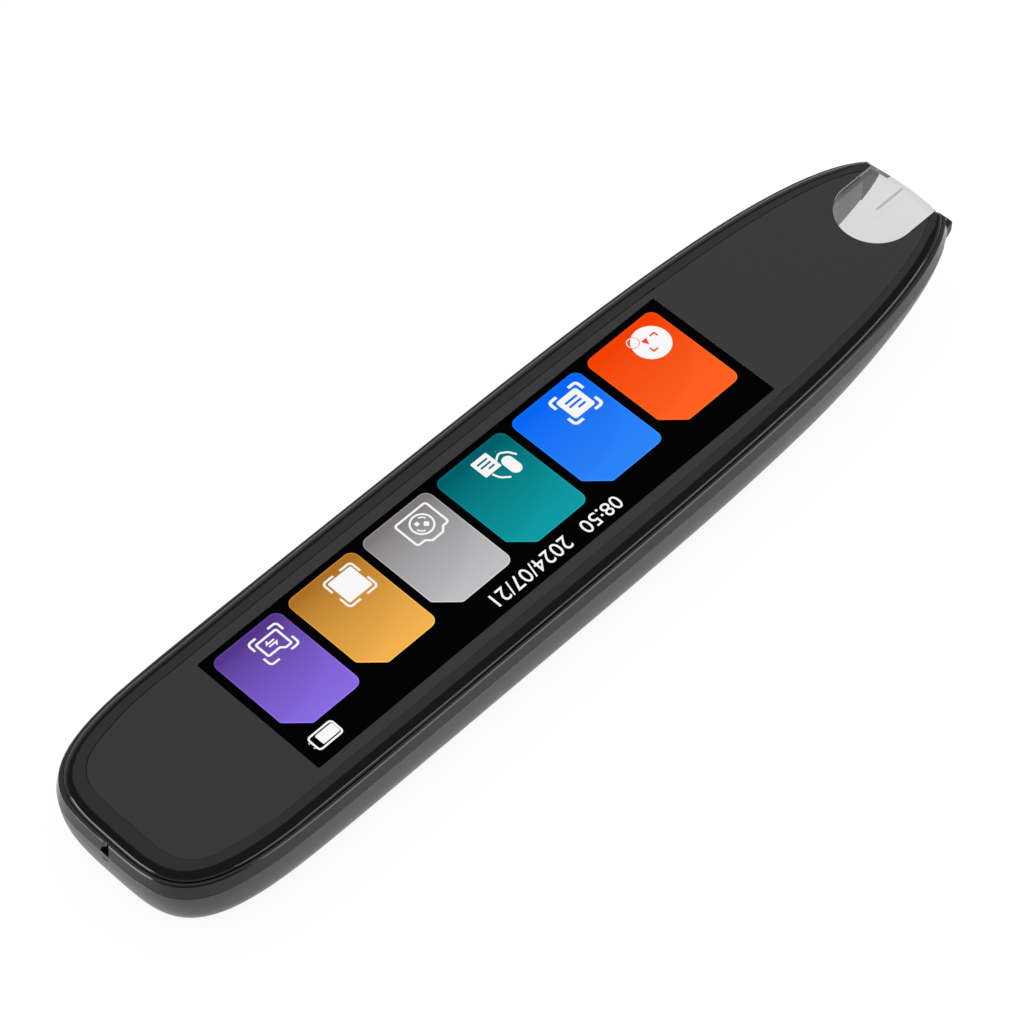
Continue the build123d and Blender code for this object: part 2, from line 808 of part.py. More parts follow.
with BuildPart() as scan_window:
    with BuildSketch(Plane.XY.offset(window_bottom)):
        notch(flange_radius)
        with Locations((window_front - window_crown - 2 * window_flange, 0)):
            Rectangle(
                body_length, body_width, align=(Align.MIN, Align.CENTER), mode=Mode.SUBTRACT
            )
    extrude(amount=window_flange_thickness)
    with BuildSketch(Plane.XY.offset(window_bottom)):
        notch(notch_radius - window_clearance)
        with BuildLine() as free_end:
            ThreePointArc(
                (window_front - window_crown, -notch_radius),
                (window_front, 0),
                (window_front - window_crown, notch_radius),
            )
            Polyline(
                (window_front - window_crown, notch_radius),
                (front_x + 2 * notch_radius, notch_radius),
                (front_x + 2 * notch_radius, -notch_radius),
                (window_front - window_crown, -notch_radius),
            )
        make_face(free_end.edges(), mode=Mode.SUBTRACT)
    extrude(amount=window_top - window_bottom)

finish(scan_window, "scan_window")

# ------------------------------------------------------------------ scan shoe
pusher_x = switch_face + stem_length + shoe_travel + fit

with BuildPart() as shoe_arms:
    loft(hull_levels(side_wall + shoe_clearance, floor_wall))
    with BuildSketch(Plane.XY.offset(arm_bottom)):
        with Locations((bridge_rear, 0)):
            Rectangle(
                foot_rear + fit - bridge_rear, 2 * arm_outer, align=(Align.MIN, Align.CENTER)
            )
        with Locations((bridge_front, 0)):
            Rectangle(
                body_length, 2 * lining_radius, align=(Align.MIN, Align.CENTER), mode=Mode.SUBTRACT
            )
    extrude(amount=seam_z - arm_bottom, mode=Mode.INTERSECT)

with BuildPart() as shoe_feet:
    loft(hull_levels(foot_inset, 0, ahead=foot_inset + foot_ahead))
    with BuildSketch(Plane.XY) as feet:
        with Locations((foot_rear, 0)):
            Rectangle(foot_length, 2 * foot_outside, align=(Align.MIN, Align.CENTER))
        fillet(feet.vertices().group_by(Axis.X)[-1], foot_round)
        notch(notch_radius, mode=Mode.SUBTRACT)
    extrude(amount=shoe_top, mode=Mode.INTERSECT)

with BuildPart() as scan_shoe:
    # lining of the notch, down to the housing's rounding
    loft(hull_levels(foot_inset, 0, ahead=foot_inset + lining_ahead))
    with BuildSketch(Plane.XY):
        notch(lining_radius)
        with Locations((foot_rear, 0)):
            Rectangle(body_length, body_width, align=(Align.MIN, Align.CENTER), mode=Mode.SUBTRACT)
        notch(notch_radius, mode=Mode.SUBTRACT)
    extrude(amount=shoe_top, mode=Mode.INTERSECT)
    add(shoe_feet.part)
    # slot that the camera and its lamps look through
    with BuildSketch(Plane.YZ.offset(lens_front)):
        with Locations((0, axis_height)):
            SlotOverall(camera_port_width, camera_port_height)
    extrude(amount=notch_x - lens_front, mode=Mode.SUBTRACT)
    # arms, bridge and the pusher for the trigger switch
    add(shoe_arms.part)
    with BuildSketch(Plane.XY.offset(arm_bottom)):
        with Locations((pusher_x, 0)):
            Rectangle(bridge_rear - pusher_x, pusher_width, align=(Align.MIN, Align.CENTER))
    extrude(amount=pusher_height)

finish(scan_shoe, "scan_shoe")

spring_pitch = (bridge_rear - spring_seat - 2 * spring_lead) / spring_turns

with BuildPart() as return_springs:
    for side in (-1, 1):
        with BuildSketch(Plane.XY.offset(arm_bottom + (arm_height - spring_height) / 2)):
            with BuildLine():
                FilletPolyline(
                    (spring_seat + spring_gap, side * spring_spread),
                    (spring_seat + spring_lead, side * spring_spread),
                    *[
                        (
                            spring_seat + spring_lead + spring_pitch * (step + 0.5),
                            side * spring_spread + spring_swing * (-1) ** step,
                        )
                        for step in range(spring_turns)
                    ],
                    (bridge_rear - spring_lead, side * spring_spread),
                    (bridge_rear - spring_gap, side * spring_spread),
                    radius=spring_gauge,
                )
            trace(line_width=spring_gauge)
        extrude(amount=spring_height)

finish(return_springs, "return_springs")

with BuildPart() as trigger_switch:
    with BuildSketch(Plane.XY.offset(board_top)):
        with Locations((switch_face, 0)):
            RectangleRounded(
                trigger_depth, trigger_width, lamp_round, align=(Align.MAX, Align.CENTER)
            )
    extrude(amount=trigger_height)
    with BuildSketch(Plane.YZ.offset(switch_face)):
        with Locations((0, arm_bottom + pusher_height / 2 - fit)):
            Circle(stem_radius)
    extrude(amount=stem_length)

finish(trigger_switch, "trigger_switch")

# ------------------------------------------------------------------ camera and lamps
with BuildPart() as camera_holder:
    with BuildSketch(Plane.YZ.offset(holder_rear)):
        with Locations((0, axis_height)):
            RectangleRounded(holder_width, holder_height, corner_round)
    extrude(amount=holder_length)
    with BuildSketch(Plane.YZ.offset(lens_rear)):
        with Locations((0, axis_height)):
            Circle(lens_radius)
    extrude(amount=holder_length, mode=Mode.SUBTRACT)
    with BuildSketch(Plane.YZ.offset(holder_rear)):
        with Locations((0, axis_height)):
            Rectangle(sensor_size + 2 * sensor_margin, sensor_size + 2 * sensor_margin)
    extrude(amount=lens_rear - holder_rear, mode=Mode.SUBTRACT)

finish(camera_holder, "camera_holder")

with BuildPart() as camera_barrel:
    with BuildSketch(Plane.YZ.offset(lens_rear)):
        with Locations((0, axis_height)):
            Circle(lens_radius)
            Circle(lens_bore, mode=Mode.SUBTRACT)
    extrude(amount=lens_length)
    with BuildSketch(Plane.YZ.offset(lens_front)):
        with Locations((0, axis_height)):
            Circle(lens_glass_radius)
    extrude(amount=-lens_glass_thickness, mode=Mode.SUBTRACT)

finish(camera_barrel, "camera_barrel")

with BuildPart() as camera_glass:
    with BuildSketch(Plane.YZ.offset(lens_front)):
        with Locations((0, axis_height)):
            Circle(lens_glass_radius)
    extrude(amount=-lens_glass_thickness)
    fillet(camera_glass.faces().sort_by(Axis.X)[-1].edges(), lens_glass_round)

finish(camera_glass, "camera_glass")

with BuildPart() as image_sensor:
    with BuildSketch(Plane.YZ.offset(holder_rear)):
        with Locations((0, axis_height)):
            Rectangle(sensor_size, sensor_size)
    extrude(amount=sensor_thickness)

finish(image_sensor, "image_sensor")

with BuildPart() as sensor_board:
    with BuildSketch(Plane.YZ.offset(holder_rear)):
        with Locations((0, axis_height)):
            Rectangle(sensor_board_width, holder_height)
    extrude(amount=-sensor_board_thickness)

finish(sensor_board, "sensor_board")

lamp_board_x = lens_front - lamp_board_setback

with BuildPart() as lamp_board:
    with BuildSketch(Plane.YZ.offset(lamp_board_x)) as plate:
        with Locations((0, axis_height)):
            Rectangle(lamp_board_width, lamp_board_height)
            chamfer(plate.vertices().group_by(Axis.Y)[0], lamp_board_chamfer)
            Circle(lens_radius, mode=Mode.SUBTRACT)
    extrude(amount=lamp_board_thickness)

finish(lamp_board, "lamp_board")

with BuildPart() as lamps:
    with BuildSketch(Plane.YZ.offset(lamp_board_x + lamp_board_thickness)):
        with Locations((-lamp_spread, axis_height), (lamp_spread, axis_height)):
            RectangleRounded(lamp_size, lamp_size, lamp_round)
    extrude(amount=lamp_thickness)

finish(lamps, "lamps")

camera_plug_x = board_x + board_length / 2 - camera_plug_gap
flex_exit = holder_rear - sensor_board_thickness
flex_exit_z = axis_height - camera_flex_drop

with BuildPart() as camera_flex:
    with BuildSketch(Plane.XZ.offset(-camera_flex_y)):
        with BuildLine():
            FilletPolyline(
                (flex_exit, flex_exit_z),
                (flex_exit - connector_depth / 2, flex_exit_z),
                (camera_plug_x + connector_depth, plug_top),
                (camera_plug_x - connector_depth / 2, plug_top),
                radius=flex_round,
            )
        trace(line_width=flex_gauge)
    extrude(amount=camera_flex_width / 2, both=True)

finish(camera_flex, "camera_flex")

# ------------------------------------------------------------------ main board
with BuildPart() as main_board:
    with BuildSketch(Plane.XY.offset(board_bottom)) as outline:
        with Locations((board_x, 0)):
            Rectangle(board_length, board_width)
            chamfer(outline.vertices(), board_chamfer)
        with Locations(*post_places):
            Circle(screw_hole, mode=Mode.SUBTRACT)
        with Locations((button_x, stem_tip - switch_stem - switch_depth)):
            Rectangle(
                switch_width, board_width, align=(Align.CENTER, Align.MIN), mode=Mode.SUBTRACT
            )
    extrude(amount=board_thickness)

finish(main_board, "main_board")

shield_places = [(board_x + shield_rear, 0), (board_x + shield_fore, 0)]

with BuildPart() as shield_cans:
    with BuildSketch(Plane.XY.offset(board_top)):
        with Locations(*shield_places):
            RectangleRounded(shield_length, shield_width, corner_round)
    extrude(amount=shield_height)
    with BuildSketch(Plane.XY.offset(board_top)):
        with Locations(*shield_places):
            Rectangle(shield_length - 2 * shield_wall, shield_width - 2 * shield_wall)
    extrude(amount=shield_height - shield_wall, mode=Mode.SUBTRACT)

finish(shield_cans, "shield_cans")

with BuildPart() as board_chips:
    with BuildSketch(Plane.XY.offset(board_top)):
        with Locations(*shield_places):
            Rectangle(chip_size, chip_size)
        with Locations((board_x + chip_fore, 0)):
            Rectangle(small_chip_size, small_chip_size)
    extrude(amount=chip_height)

finish(board_chips, "board_chips")

with BuildPart() as board_connectors:
    with BuildSketch(Plane.XY.offset(board_top)):
        with Locations((display_plug_x + connector_depth / 2, 0)):
            Rectangle(connector_depth, flex_width)
        with Locations((camera_plug_x, camera_flex_y)):
            Rectangle(connector_depth, camera_flex_width)
    extrude(amount=connector_height)
    with BuildSketch(Plane.XY.offset(board_bottom)):
        with Locations((battery_plug_x, 0)):
            Rectangle(connector_depth, flex_width / 2)
    extrude(amount=-connector_height)

finish(board_connectors, "board_connectors")

# ------------------------------------------------------------------ battery
with BuildPart() as battery_cell:
    with BuildSketch(Plane.XY.offset(battery_z)):
        with Locations((battery_rear + battery_board_length, 0)):
            Rectangle(battery_length, battery_width, align=(Align.MIN, Align.CENTER))
    extrude(amount=battery_thickness)
    fillet(battery_cell.edges().filter_by(Axis.X), cell_side_round)
    fillet(battery_cell.edges().filter_by(Axis.Y).sort_by(Axis.X)[-1], cell_end_round)

finish(battery_cell, "battery_cell")

with BuildPart() as battery_board:
    with BuildSketch(Plane.XY.offset(battery_z)):
        with Locations((battery_rear, 0)):
            Rectangle(battery_board_length, battery_board_width, align=(Align.MIN, Align.CENTER))
    extrude(amount=battery_board_thickness)

finish(battery_board, "battery_board")

with BuildPart() as battery_pad:
    with BuildSketch(Plane.XY.offset(floor_wall)):
        with Locations((battery_x, 0)):
            Rectangle(bay_length, battery_pad_width)
    extrude(amount=battery_pad_thickness)

finish(battery_pad, "battery_pad")

plug_bottom = board_bottom - connector_height - flex_gauge / 2

with BuildPart() as battery_flex:
    with BuildSketch(Plane.XZ):
        with BuildLine():
            FilletPolyline(
                (battery_rear + battery_board_length / 2, battery_z + battery_board_thickness),
                (battery_rear + battery_board_length / 2, plug_bottom),
                (battery_plug_x - connector_depth / 2, plug_bottom),
                radius=flex_round,
            )
        trace(line_width=flex_gauge)
    extrude(amount=flex_width / 4, both=True)

finish(battery_flex, "battery_flex")

# ------------------------------------------------------------------ speaker
with BuildPart() as speaker:
    with BuildSketch(Plane.XY.offset(speaker_z)):
        with Locations((speaker_x, 0)):
            RectangleRounded(speaker_length, speaker_width, speaker_corner)
    extrude(amount=speaker_thickness)
    with BuildSketch(Plane.XY.offset(speaker_z)):
        with Locations((speaker_x, 0)):
            RectangleRounded(cone_length, cone_width, cone_corner)
    extrude(amount=cone_depth, mode=Mode.SUBTRACT)

finish(speaker, "speaker")

with BuildPart() as speaker_gasket:
    with BuildSketch(Plane.XY.offset(floor_wall)):
        with Locations((speaker_x, 0)):
            RectangleRounded(speaker_length, speaker_width, speaker_corner)
            Rectangle(
                speaker_length - 2 * gasket_width,
                speaker_width - 2 * gasket_width,
                mode=Mode.SUBTRACT,
            )
    extrude(amount=gasket_thickness)

finish(speaker_gasket, "speaker_gasket")

with BuildPart() as speaker_mesh:
    with BuildSketch(Plane.XY.offset(floor_wall)):
        with Locations((speaker_x, 0)):
            Rectangle(speaker_length - 2 * gasket_width, speaker_width - 2 * gasket_width)
    extrude(amount=mesh_thickness)

finish(speaker_mesh, "speaker_mesh")

# ------------------------------------------------------------------ USB-C socket
socket_front = usb_outer - usb_setback
tongue_rear = socket_front - usb_depth + socket_wall

with BuildPart() as usb_socket:
    with BuildSketch(Plane.XZ.offset(-socket_front)):
        with Locations((usb_x, usb_z)):
            SlotOverall(usb_width, usb_height)
    extrude(amount=usb_depth)
    with BuildSketch(Plane.XZ.offset(-socket_front)):
        with Locations((usb_x, usb_z)):
            SlotOverall(usb_width - 2 * socket_wall, usb_height - 2 * socket_wall)
    extrude(amount=usb_depth - socket_wall, mode=Mode.SUBTRACT)

finish(usb_socket, "usb_socket")

with BuildPart() as usb_tongue:
    with BuildSketch(Plane.XZ.offset(-tongue_rear)):
        with Locations((usb_x, usb_z)):
            SlotOverall(usb_width - 2 * socket_wall, usb_height - 2 * socket_wall)
    extrude(amount=-tongue_base)
    with BuildSketch(Plane.XZ.offset(-tongue_rear)):
        with Locations((usb_x, usb_z)):
            Rectangle(tongue_width, tongue_height)
    extrude(amount=-(usb_depth - socket_wall - tongue_inset))

finish(usb_tongue, "usb_tongue")

# ------------------------------------------------------------------ power button and its switch
with BuildPart() as power_button:
    with BuildSketch(Plane.XZ.offset(-(button_outer + button_proud))):
        with Locations((button_x, button_z)):
            SlotOverall(button_length, button_height)
    extrude(amount=button_outer + button_proud - flange_face)
    fillet(power_button.faces().sort_by(Axis.Y)[-1].edges(), button_round)
    with BuildSketch(Plane.XZ.offset(-flange_face)):
        with Locations((button_x, button_z)):
            RectangleRounded(
                button_length + 2 * button_flange_rim,
                button_height + 2 * button_flange_rim,
                corner_round,
            )
    extrude(amount=button_flange)
    with BuildSketch(Plane.XZ.offset(-(flange_face - button_flange))):
        with Locations((button_x, button_z)):
            Circle(button_post_radius)
    extrude(amount=button_post)

finish(power_button, "power_button")

with BuildPart() as power_switch:
    with BuildSketch(Plane.XZ.offset(-(stem_tip - switch_stem))):
        with Locations((button_x, button_z)):
            Rectangle(switch_width, switch_height)
    extrude(amount=switch_depth)
    with BuildSketch(Plane.XZ.offset(-stem_tip)):
        with Locations((button_x, button_z)):
            Circle(stem_radius)
    extrude(amount=switch_stem)

finish(power_switch, "power_switch")

# ------------------------------------------------------------------ microphone and antenna
with BuildPart() as mic_boot:
    with BuildSketch(Plane.YZ.offset(boot_x)):
        with Locations((0, mic_z)):
            RectangleRounded(mic_width + 2 * boot_wall, mic_height + 2 * boot_wall, corner_round)
            SlotOverall(mic_slit_width, 2 * mic_slit_height, mode=Mode.SUBTRACT)
    extrude(amount=boot_depth)

finish(mic_boot, "mic_boot")

with BuildPart() as microphone:
    with BuildSketch(Plane.YZ.offset(boot_x + boot_depth)):
        with Locations((0, mic_z)):
            Rectangle(mic_width, mic_height)
    extrude(amount=mic_depth)

finish(microphone, "microphone")

with BuildPart() as mic_board:
    with BuildSketch(Plane.YZ.offset(boot_x + boot_depth + mic_depth)):
        with Locations((0, mic_z)):
            Rectangle(mic_width + boot_wall, mic_height + 2 * boot_wall)
    extrude(amount=mic_board_thickness)

finish(mic_board, "mic_board")

antenna_rear = boot_x + boot_depth + mic_depth + mic_board_thickness + antenna_gap

with BuildPart() as antenna_flex:
    with BuildSketch(Plane.XY.offset(deck_z)):
        with Locations((antenna_rear, 0)):
            Rectangle(antenna_length, antenna_width, align=(Align.MIN, Align.CENTER))
    extrude(amount=-antenna_gauge)

finish(antenna_flex, "antenna_flex")

# ------------------------------------------------------------------ fasteners
with BuildPart() as threaded_inserts:
    with BuildSketch(Plane.XY.offset(deck_z)):
        with Locations(*boss_places):
            Circle(insert_radius)
            Circle(insert_bore, mode=Mode.SUBTRACT)
    extrude(amount=-insert_length)

finish(threaded_inserts, "threaded_inserts")

with BuildPart() as frame_screws:
    with BuildSketch(Plane.XY.offset(rim_bottom)):
        with Locations(*boss_places):
            Circle(screw_head_radius)
            RegularPolygon(screw_drive, 6, mode=Mode.SUBTRACT)
    extrude(amount=-screw_head_height / 2)
    with BuildSketch(Plane.XY.offset(rim_bottom - screw_head_height / 2)):
        with Locations(*boss_places):
            Circle(screw_head_radius)
    extrude(amount=-screw_head_height / 2)
    with BuildSketch(Plane.XY.offset(rim_bottom - screw_head_height)):
        with Locations(*boss_places):
            Circle(screw_radius)
    extrude(amount=-(rim_bottom - screw_head_height - deck_z + insert_length))

finish(frame_screws, "frame_screws")

with BuildPart() as board_screws:
    with BuildSketch(Plane.XY.offset(board_bottom)):
        with Locations(*post_places):
            Circle(screw_head_radius)
    extrude(amount=-screw_head_height)
    with BuildSketch(Plane.XY.offset(board_bottom)):
        with Locations(*post_places):
            Circle(screw_radius - fit)
    extrude(amount=board_screw_length)

finish(board_screws, "board_screws")
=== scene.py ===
"""Handheld scan translator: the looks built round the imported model.

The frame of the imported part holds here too: +X to the scan tip, +Y to the side with the power
button, +Z up through the screen, in metres. The housing's own solids stay as they are and get
their finishes; the cover, the screen picture and the small trims are modelled here.
"""

import json
import logging
import math
from collections.abc import Callable, Iterator
from contextlib import contextmanager
from dataclasses import dataclass, field
from enum import Enum

import bpy
from mathutils import Matrix, Vector

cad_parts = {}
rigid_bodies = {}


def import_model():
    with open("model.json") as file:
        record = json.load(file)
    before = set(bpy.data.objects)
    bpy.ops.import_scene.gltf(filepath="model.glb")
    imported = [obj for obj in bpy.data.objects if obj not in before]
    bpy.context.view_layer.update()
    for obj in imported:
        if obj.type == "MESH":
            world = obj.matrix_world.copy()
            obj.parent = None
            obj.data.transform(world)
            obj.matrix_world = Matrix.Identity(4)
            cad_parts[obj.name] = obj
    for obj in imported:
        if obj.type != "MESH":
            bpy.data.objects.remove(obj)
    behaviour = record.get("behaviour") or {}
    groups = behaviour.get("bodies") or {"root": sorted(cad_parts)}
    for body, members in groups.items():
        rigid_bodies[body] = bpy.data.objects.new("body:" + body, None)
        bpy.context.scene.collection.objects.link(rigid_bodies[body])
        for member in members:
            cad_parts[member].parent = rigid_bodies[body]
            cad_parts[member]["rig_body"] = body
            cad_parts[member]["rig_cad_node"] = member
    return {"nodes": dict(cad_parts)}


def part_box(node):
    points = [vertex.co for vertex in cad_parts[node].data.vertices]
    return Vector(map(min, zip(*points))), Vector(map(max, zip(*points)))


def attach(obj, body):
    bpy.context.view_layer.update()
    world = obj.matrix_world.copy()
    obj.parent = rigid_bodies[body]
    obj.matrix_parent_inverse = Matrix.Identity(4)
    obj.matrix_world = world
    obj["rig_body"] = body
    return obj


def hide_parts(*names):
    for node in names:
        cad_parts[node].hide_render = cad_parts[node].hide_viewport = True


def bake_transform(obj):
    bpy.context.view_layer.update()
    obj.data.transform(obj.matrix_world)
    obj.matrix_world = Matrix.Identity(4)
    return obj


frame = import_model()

logging.basicConfig(level=logging.INFO, format="%(message)s")
log = logging.getLogger("scan_translator")

Colour = tuple[float, float, float]
Place = tuple[float, float, float]
Point = tuple[float, float]
Piece = bpy.types.Object
Drawn = tuple[list[Piece], list[Piece]]
Socket = bpy.types.NodeSocket

MM = 0.001
PIXEL = 0.00009               # pitch of the screen's pixels
PIXEL_DIM = 0.97              # brightness of every other pixel
WELD = 0.000002               # distance within which a copied mesh's points are joined
LEVEL = 1e-7                  # height within which points are taken to be level
CORNER_STEPS = 5              # steps round a rounded corner
FIGURE_SIZE = 0.004           # size at which figures are set before they are fitted
FIGURE_STEPS = 4              # steps along a figure's curves


class Body(Enum):
    """The rigid bodies that pieces ride on."""

    HOUSING = "housing"
    SHOE = "scan_shoe"


class Sign(Enum):
    """The white signs on the screen's tiles."""

    BUBBLE = "bubble"
    SQUARE = "square"
    CAMERA = "camera"
    SPEECH = "speech"
    LINES = "lines"
    GLOBE = "globe"


def shade(red: int, green: int, blue: int) -> Colour:
    """Turn an 8-bit display colour into the linear colour that a shader takes.

    Args:
        red: Red, 0 to 255.
        green: Green, 0 to 255.
        blue: Blue, 0 to 255.

    Returns:
        The linear colour.
    """
    linear = []
    for value in (red, green, blue):
        share = value / 255
        linear.append(share / 12.92 if share <= 0.04045 else ((share + 0.055) / 1.055) ** 2.4)
    return (linear[0], linear[1], linear[2])


def scaled(colour: Colour, factor: float) -> Colour:
    """A colour made lighter or darker by a factor."""
    return tuple(min(1.0, part * factor) for part in colour)


# ---------------------------------------------------------------------------- finishes
class Nodes:
    """A node tree, with short calls for the nodes that the finishes and the room share."""

    def __init__(self, tree: bpy.types.NodeTree) -> None:
        """Take a tree over.

        Args:
            tree: The node tree.
        """
        self.tree = tree

    def feed(self, target: Socket, value: object) -> None:
        """Link an input to an output, or give it a value or an opaque colour.

        Args:
            target: The input.
            value: The output, the value, or the colour's red, green and blue.
        """
        if isinstance(value, Socket):
            self.tree.links.new(value, target)
        else:
            target.default_value = (*value, 1) if target.type == "RGBA" else value

    def add(
        self, kind: str, inputs: dict[str | int, object] | None = None, **settings: object
    ) -> bpy.types.Node:
        """Add a node, set its properties and feed its inputs.

        Args:
            kind: The node's type name after "ShaderNode".
            inputs: What each input is fed.
            settings: Property values of the node.

        Returns:
            The new node.
        """
        node = self.tree.nodes.new(f"ShaderNode{kind}")
        for key, value in settings.items():
            setattr(node, key, value)
        for key, value in (inputs or {}).items():
            self.feed(node.inputs[key], value)
        return node

    def get(
        self, output: str, kind: str, inputs: dict[str | int, object] | None = None,
        **settings: object,
    ) -> Socket:
        """Add a node as `add` does, and return one of its outputs."""
        return self.add(kind, inputs, **settings).outputs[output]

    def place(self) -> Socket:
        """The Object coordinates' output."""
        return self.get("Object", "TexCoord")

    def axes(self, vector: Socket) -> list[Socket]:
        """The three numbers of a vector."""
        return list(self.add("SeparateXYZ", {"Vector": vector}).outputs)

    def flat(self, x: Socket, y: Socket) -> Socket:
        """A vector in plan, from its two numbers."""
        return self.get("Vector", "CombineXYZ", {"X": x, "Y": y})

    def maths(self, operation: str, first: object, second: object) -> Socket:
        """The outcome of an operation on two numbers."""
        return self.get("Value", "Math", {0: first, 1: second}, operation=operation)

    def ramp(
        self, value: Socket, start: float, end: float, low: float = 0.0, high: float = 1.0,
        **settings: object,
    ) -> Socket:
        """Map one range of values to another.

        Args:
            value: The value.
            start: The value that gives `low`.
            end: The value that gives `high`.
            low: First end of the new range.
            high: Its other end.
            settings: Property values of the node.

        Returns:
            The mapped value's output.
        """
        limits = {"From Min": start, "From Max": end, "To Min": low, "To Max": high}
        return self.get("Result", "MapRange", {"Value": value, **limits}, **settings)

    def noise(self, size: float, detail: float = 3.0, stretch: Place = (1, 1, 1)) -> Socket:
        """A noise pattern on Object coordinates.

        Args:
            size: Size of the pattern's features, in metres.
            detail: Octaves of finer noise.
            stretch: Scale along each axis, for brushed or woven grain.

        Returns:
            The noise's factor output.
        """
        place = self.get("Vector", "Mapping", {"Vector": self.place(), "Scale": stretch})
        return self.get("Fac", "TexNoise", {"Vector": place, "Scale": 1 / size, "Detail": detail})

    def spread(self, pattern: Socket, low: float, high: float) -> Socket:
        """Map a 0.3 to 0.7 pattern to a range of values.

        Args:
            pattern: The pattern.
            low: Value at the pattern's dark side.
            high: Value at its bright side.

        Returns:
            The mapped value's output.
        """
        return self.ramp(pattern, 0.3, 0.7, low, high)

    def mix(self, factor: Socket, first: Colour | Socket, second: Colour | Socket) -> Socket:
        """Mix two colours.

        Args:
            factor: 0 for the first colour and 1 for the second.
            first: First colour.
            second: Second colour.

        Returns:
            The mixed colour's output.
        """
        inputs = {"Factor": factor, "A": first, "B": second}
        return self.get("Result", "Mix", inputs, data_type="RGBA")

    def tone(self, pattern: Socket, colour: Colour, dark: float, light: float) -> Socket:
        """A colour that varies with a pattern.

        Args:
            pattern: The pattern.
            colour: The colour.
            dark: Factor on the colour at the pattern's dark side.
            light: Factor at its bright side.

        Returns:
            The varied colour's output.
        """
        share = self.spread(pattern, 0.0, 1.0)
        return self.mix(share, scaled(colour, dark), scaled(colour, light))

    def checks(self, pitch: float, first: Colour, second: Colour) -> list[Socket]:
        """A chequered pattern on Object coordinates.

        Args:
            pitch: Pitch of the checks, in metres.
            first: Colour of half of them.
            second: Colour of the others.

        Returns:
            The colour's output and the factor's.
        """
        inputs = {"Vector": self.place(), "Scale": 1 / pitch, "Color1": first, "Color2": second}
        return list(self.add("TexChecker", inputs).outputs)

    def shaders(self, factor: Socket, first: Socket, second: Socket) -> Socket:
        """Mix two surfaces, 0 for the first and 1 for the second."""
        return self.get("Shader", "MixShader", {"Fac": factor, 1: first, 2: second})


class NodeSheet(Nodes):
    """A material's nodes, round one Principled surface."""

    def __init__(self, name: str) -> None:
        """Start a material.

        Args:
            name: The material's name.
        """
        self.material = bpy.data.materials.new(name)
        self.material.use_nodes = True
        super().__init__(self.material.node_tree)
        self.shader = self.tree.nodes["Principled BSDF"]

    def set(self, **values: object) -> None:
        """Feed the surface's own inputs, with underscores for spaces in their names."""
        for key, value in values.items():
            self.feed(self.shader.inputs[key.replace("_", " ")], value)

    def bump(self, height: Socket, depth: float, strength: float = 1.0) -> None:
        """Give the surface a fine relief.

        Args:
            height: The height pattern, 0 to 1.
            depth: Depth of the relief, in metres.
            strength: Strength of the relief.
        """
        inputs = {"Height": height, "Distance": depth, "Strength": strength}
        self.set(Normal=self.get("Normal", "Bump", inputs))

    def overpaint(self, mask: Socket, colour: Colour | Socket) -> None:
        """Lay a second colour over the base colour where the mask is 1.

        Args:
            mask: The mask, 0 to 1.
            colour: The second colour.
        """
        base = self.shader.inputs["Base Color"].links[0].from_socket
        self.set(Base_Color=self.mix(mask, base, colour))

    def glow(self, light: Socket, roughness: float) -> None:
        """Let the surface shine by itself and mirror nothing.

        Args:
            light: Colour of its light.
            roughness: The surface's roughness.
        """
        self.set(Base_Color=(0, 0, 0), Roughness=roughness, Specular_IOR_Level=0.0)
        self.set(Emission_Color=light, Emission_Strength=1.0)


@dataclass(frozen=True)
class Finish:
    """A surface finish, from which a material is made once.

    Attributes:
        name: The material's name.
        colour: The linear base colour.
        roughness: Mean roughness.
    """

    name: str
    colour: Colour
    roughness: float

    def build(self, sheet: NodeSheet) -> None:
        """Add the finish's own nodes to a new material."""
        sheet.set(Base_Color=self.colour, Roughness=self.roughness)

    def material(self) -> bpy.types.Material:
        """The finish's material, made on first use.

        Returns:
            The material.
        """
        found = bpy.data.materials.get(self.name)
        if found is None:
            sheet = NodeSheet(self.name)
            self.build(sheet)
            found = sheet.material
        return found

    def dress(self, piece: Piece) -> None:
        """Give a piece this finish and no other."""
        piece.data.materials.clear()
        piece.data.materials.append(self.material())


@dataclass(frozen=True)
class Moulded(Finish):
    """Moulded plastic or rubber: a fine even grain, with a little colour and gloss variation.

    Attributes:
        grain: Size of the mould's grain, in metres.
        depth: Depth of the grain, in metres.
        dark: Factor on the colour in its darkest patches.
        light: Factor in its lightest.
        cloud: Size of the patches, in metres.
        sheen: Share by which the roughness varies.
    """

    grain: float = 0.00025
    depth: float = 0.000004
    dark: float = 0.88
    light: float = 1.12
    cloud: float = 0.018
    sheen: float = 0.1

    def build(self, sheet: NodeSheet) -> None:
        """Add grain, mottling and gloss variation."""
        fine = sheet.noise(self.grain, detail=2.0)
        swing = self.roughness * self.sheen
        sheet.set(
            Base_Color=self.patches(sheet, self.colour, self.dark, self.light),
            Roughness=sheet.spread(fine, self.roughness - swing, self.roughness + swing),
        )
        sheet.bump(fine, self.depth)

    def patches(self, sheet: NodeSheet, colour: Colour, dark: float, light: float) -> Socket:
        """A colour with the plastic's darker and lighter patches.

        Args:
            sheet: The material's nodes.
            colour: The colour.
            dark: Factor on it in its darkest patches.
            light: Factor in its lightest.

        Returns:
            The varied colour's output.
        """
        return sheet.tone(sheet.noise(self.cloud, detail=4.0), colour, dark, light)


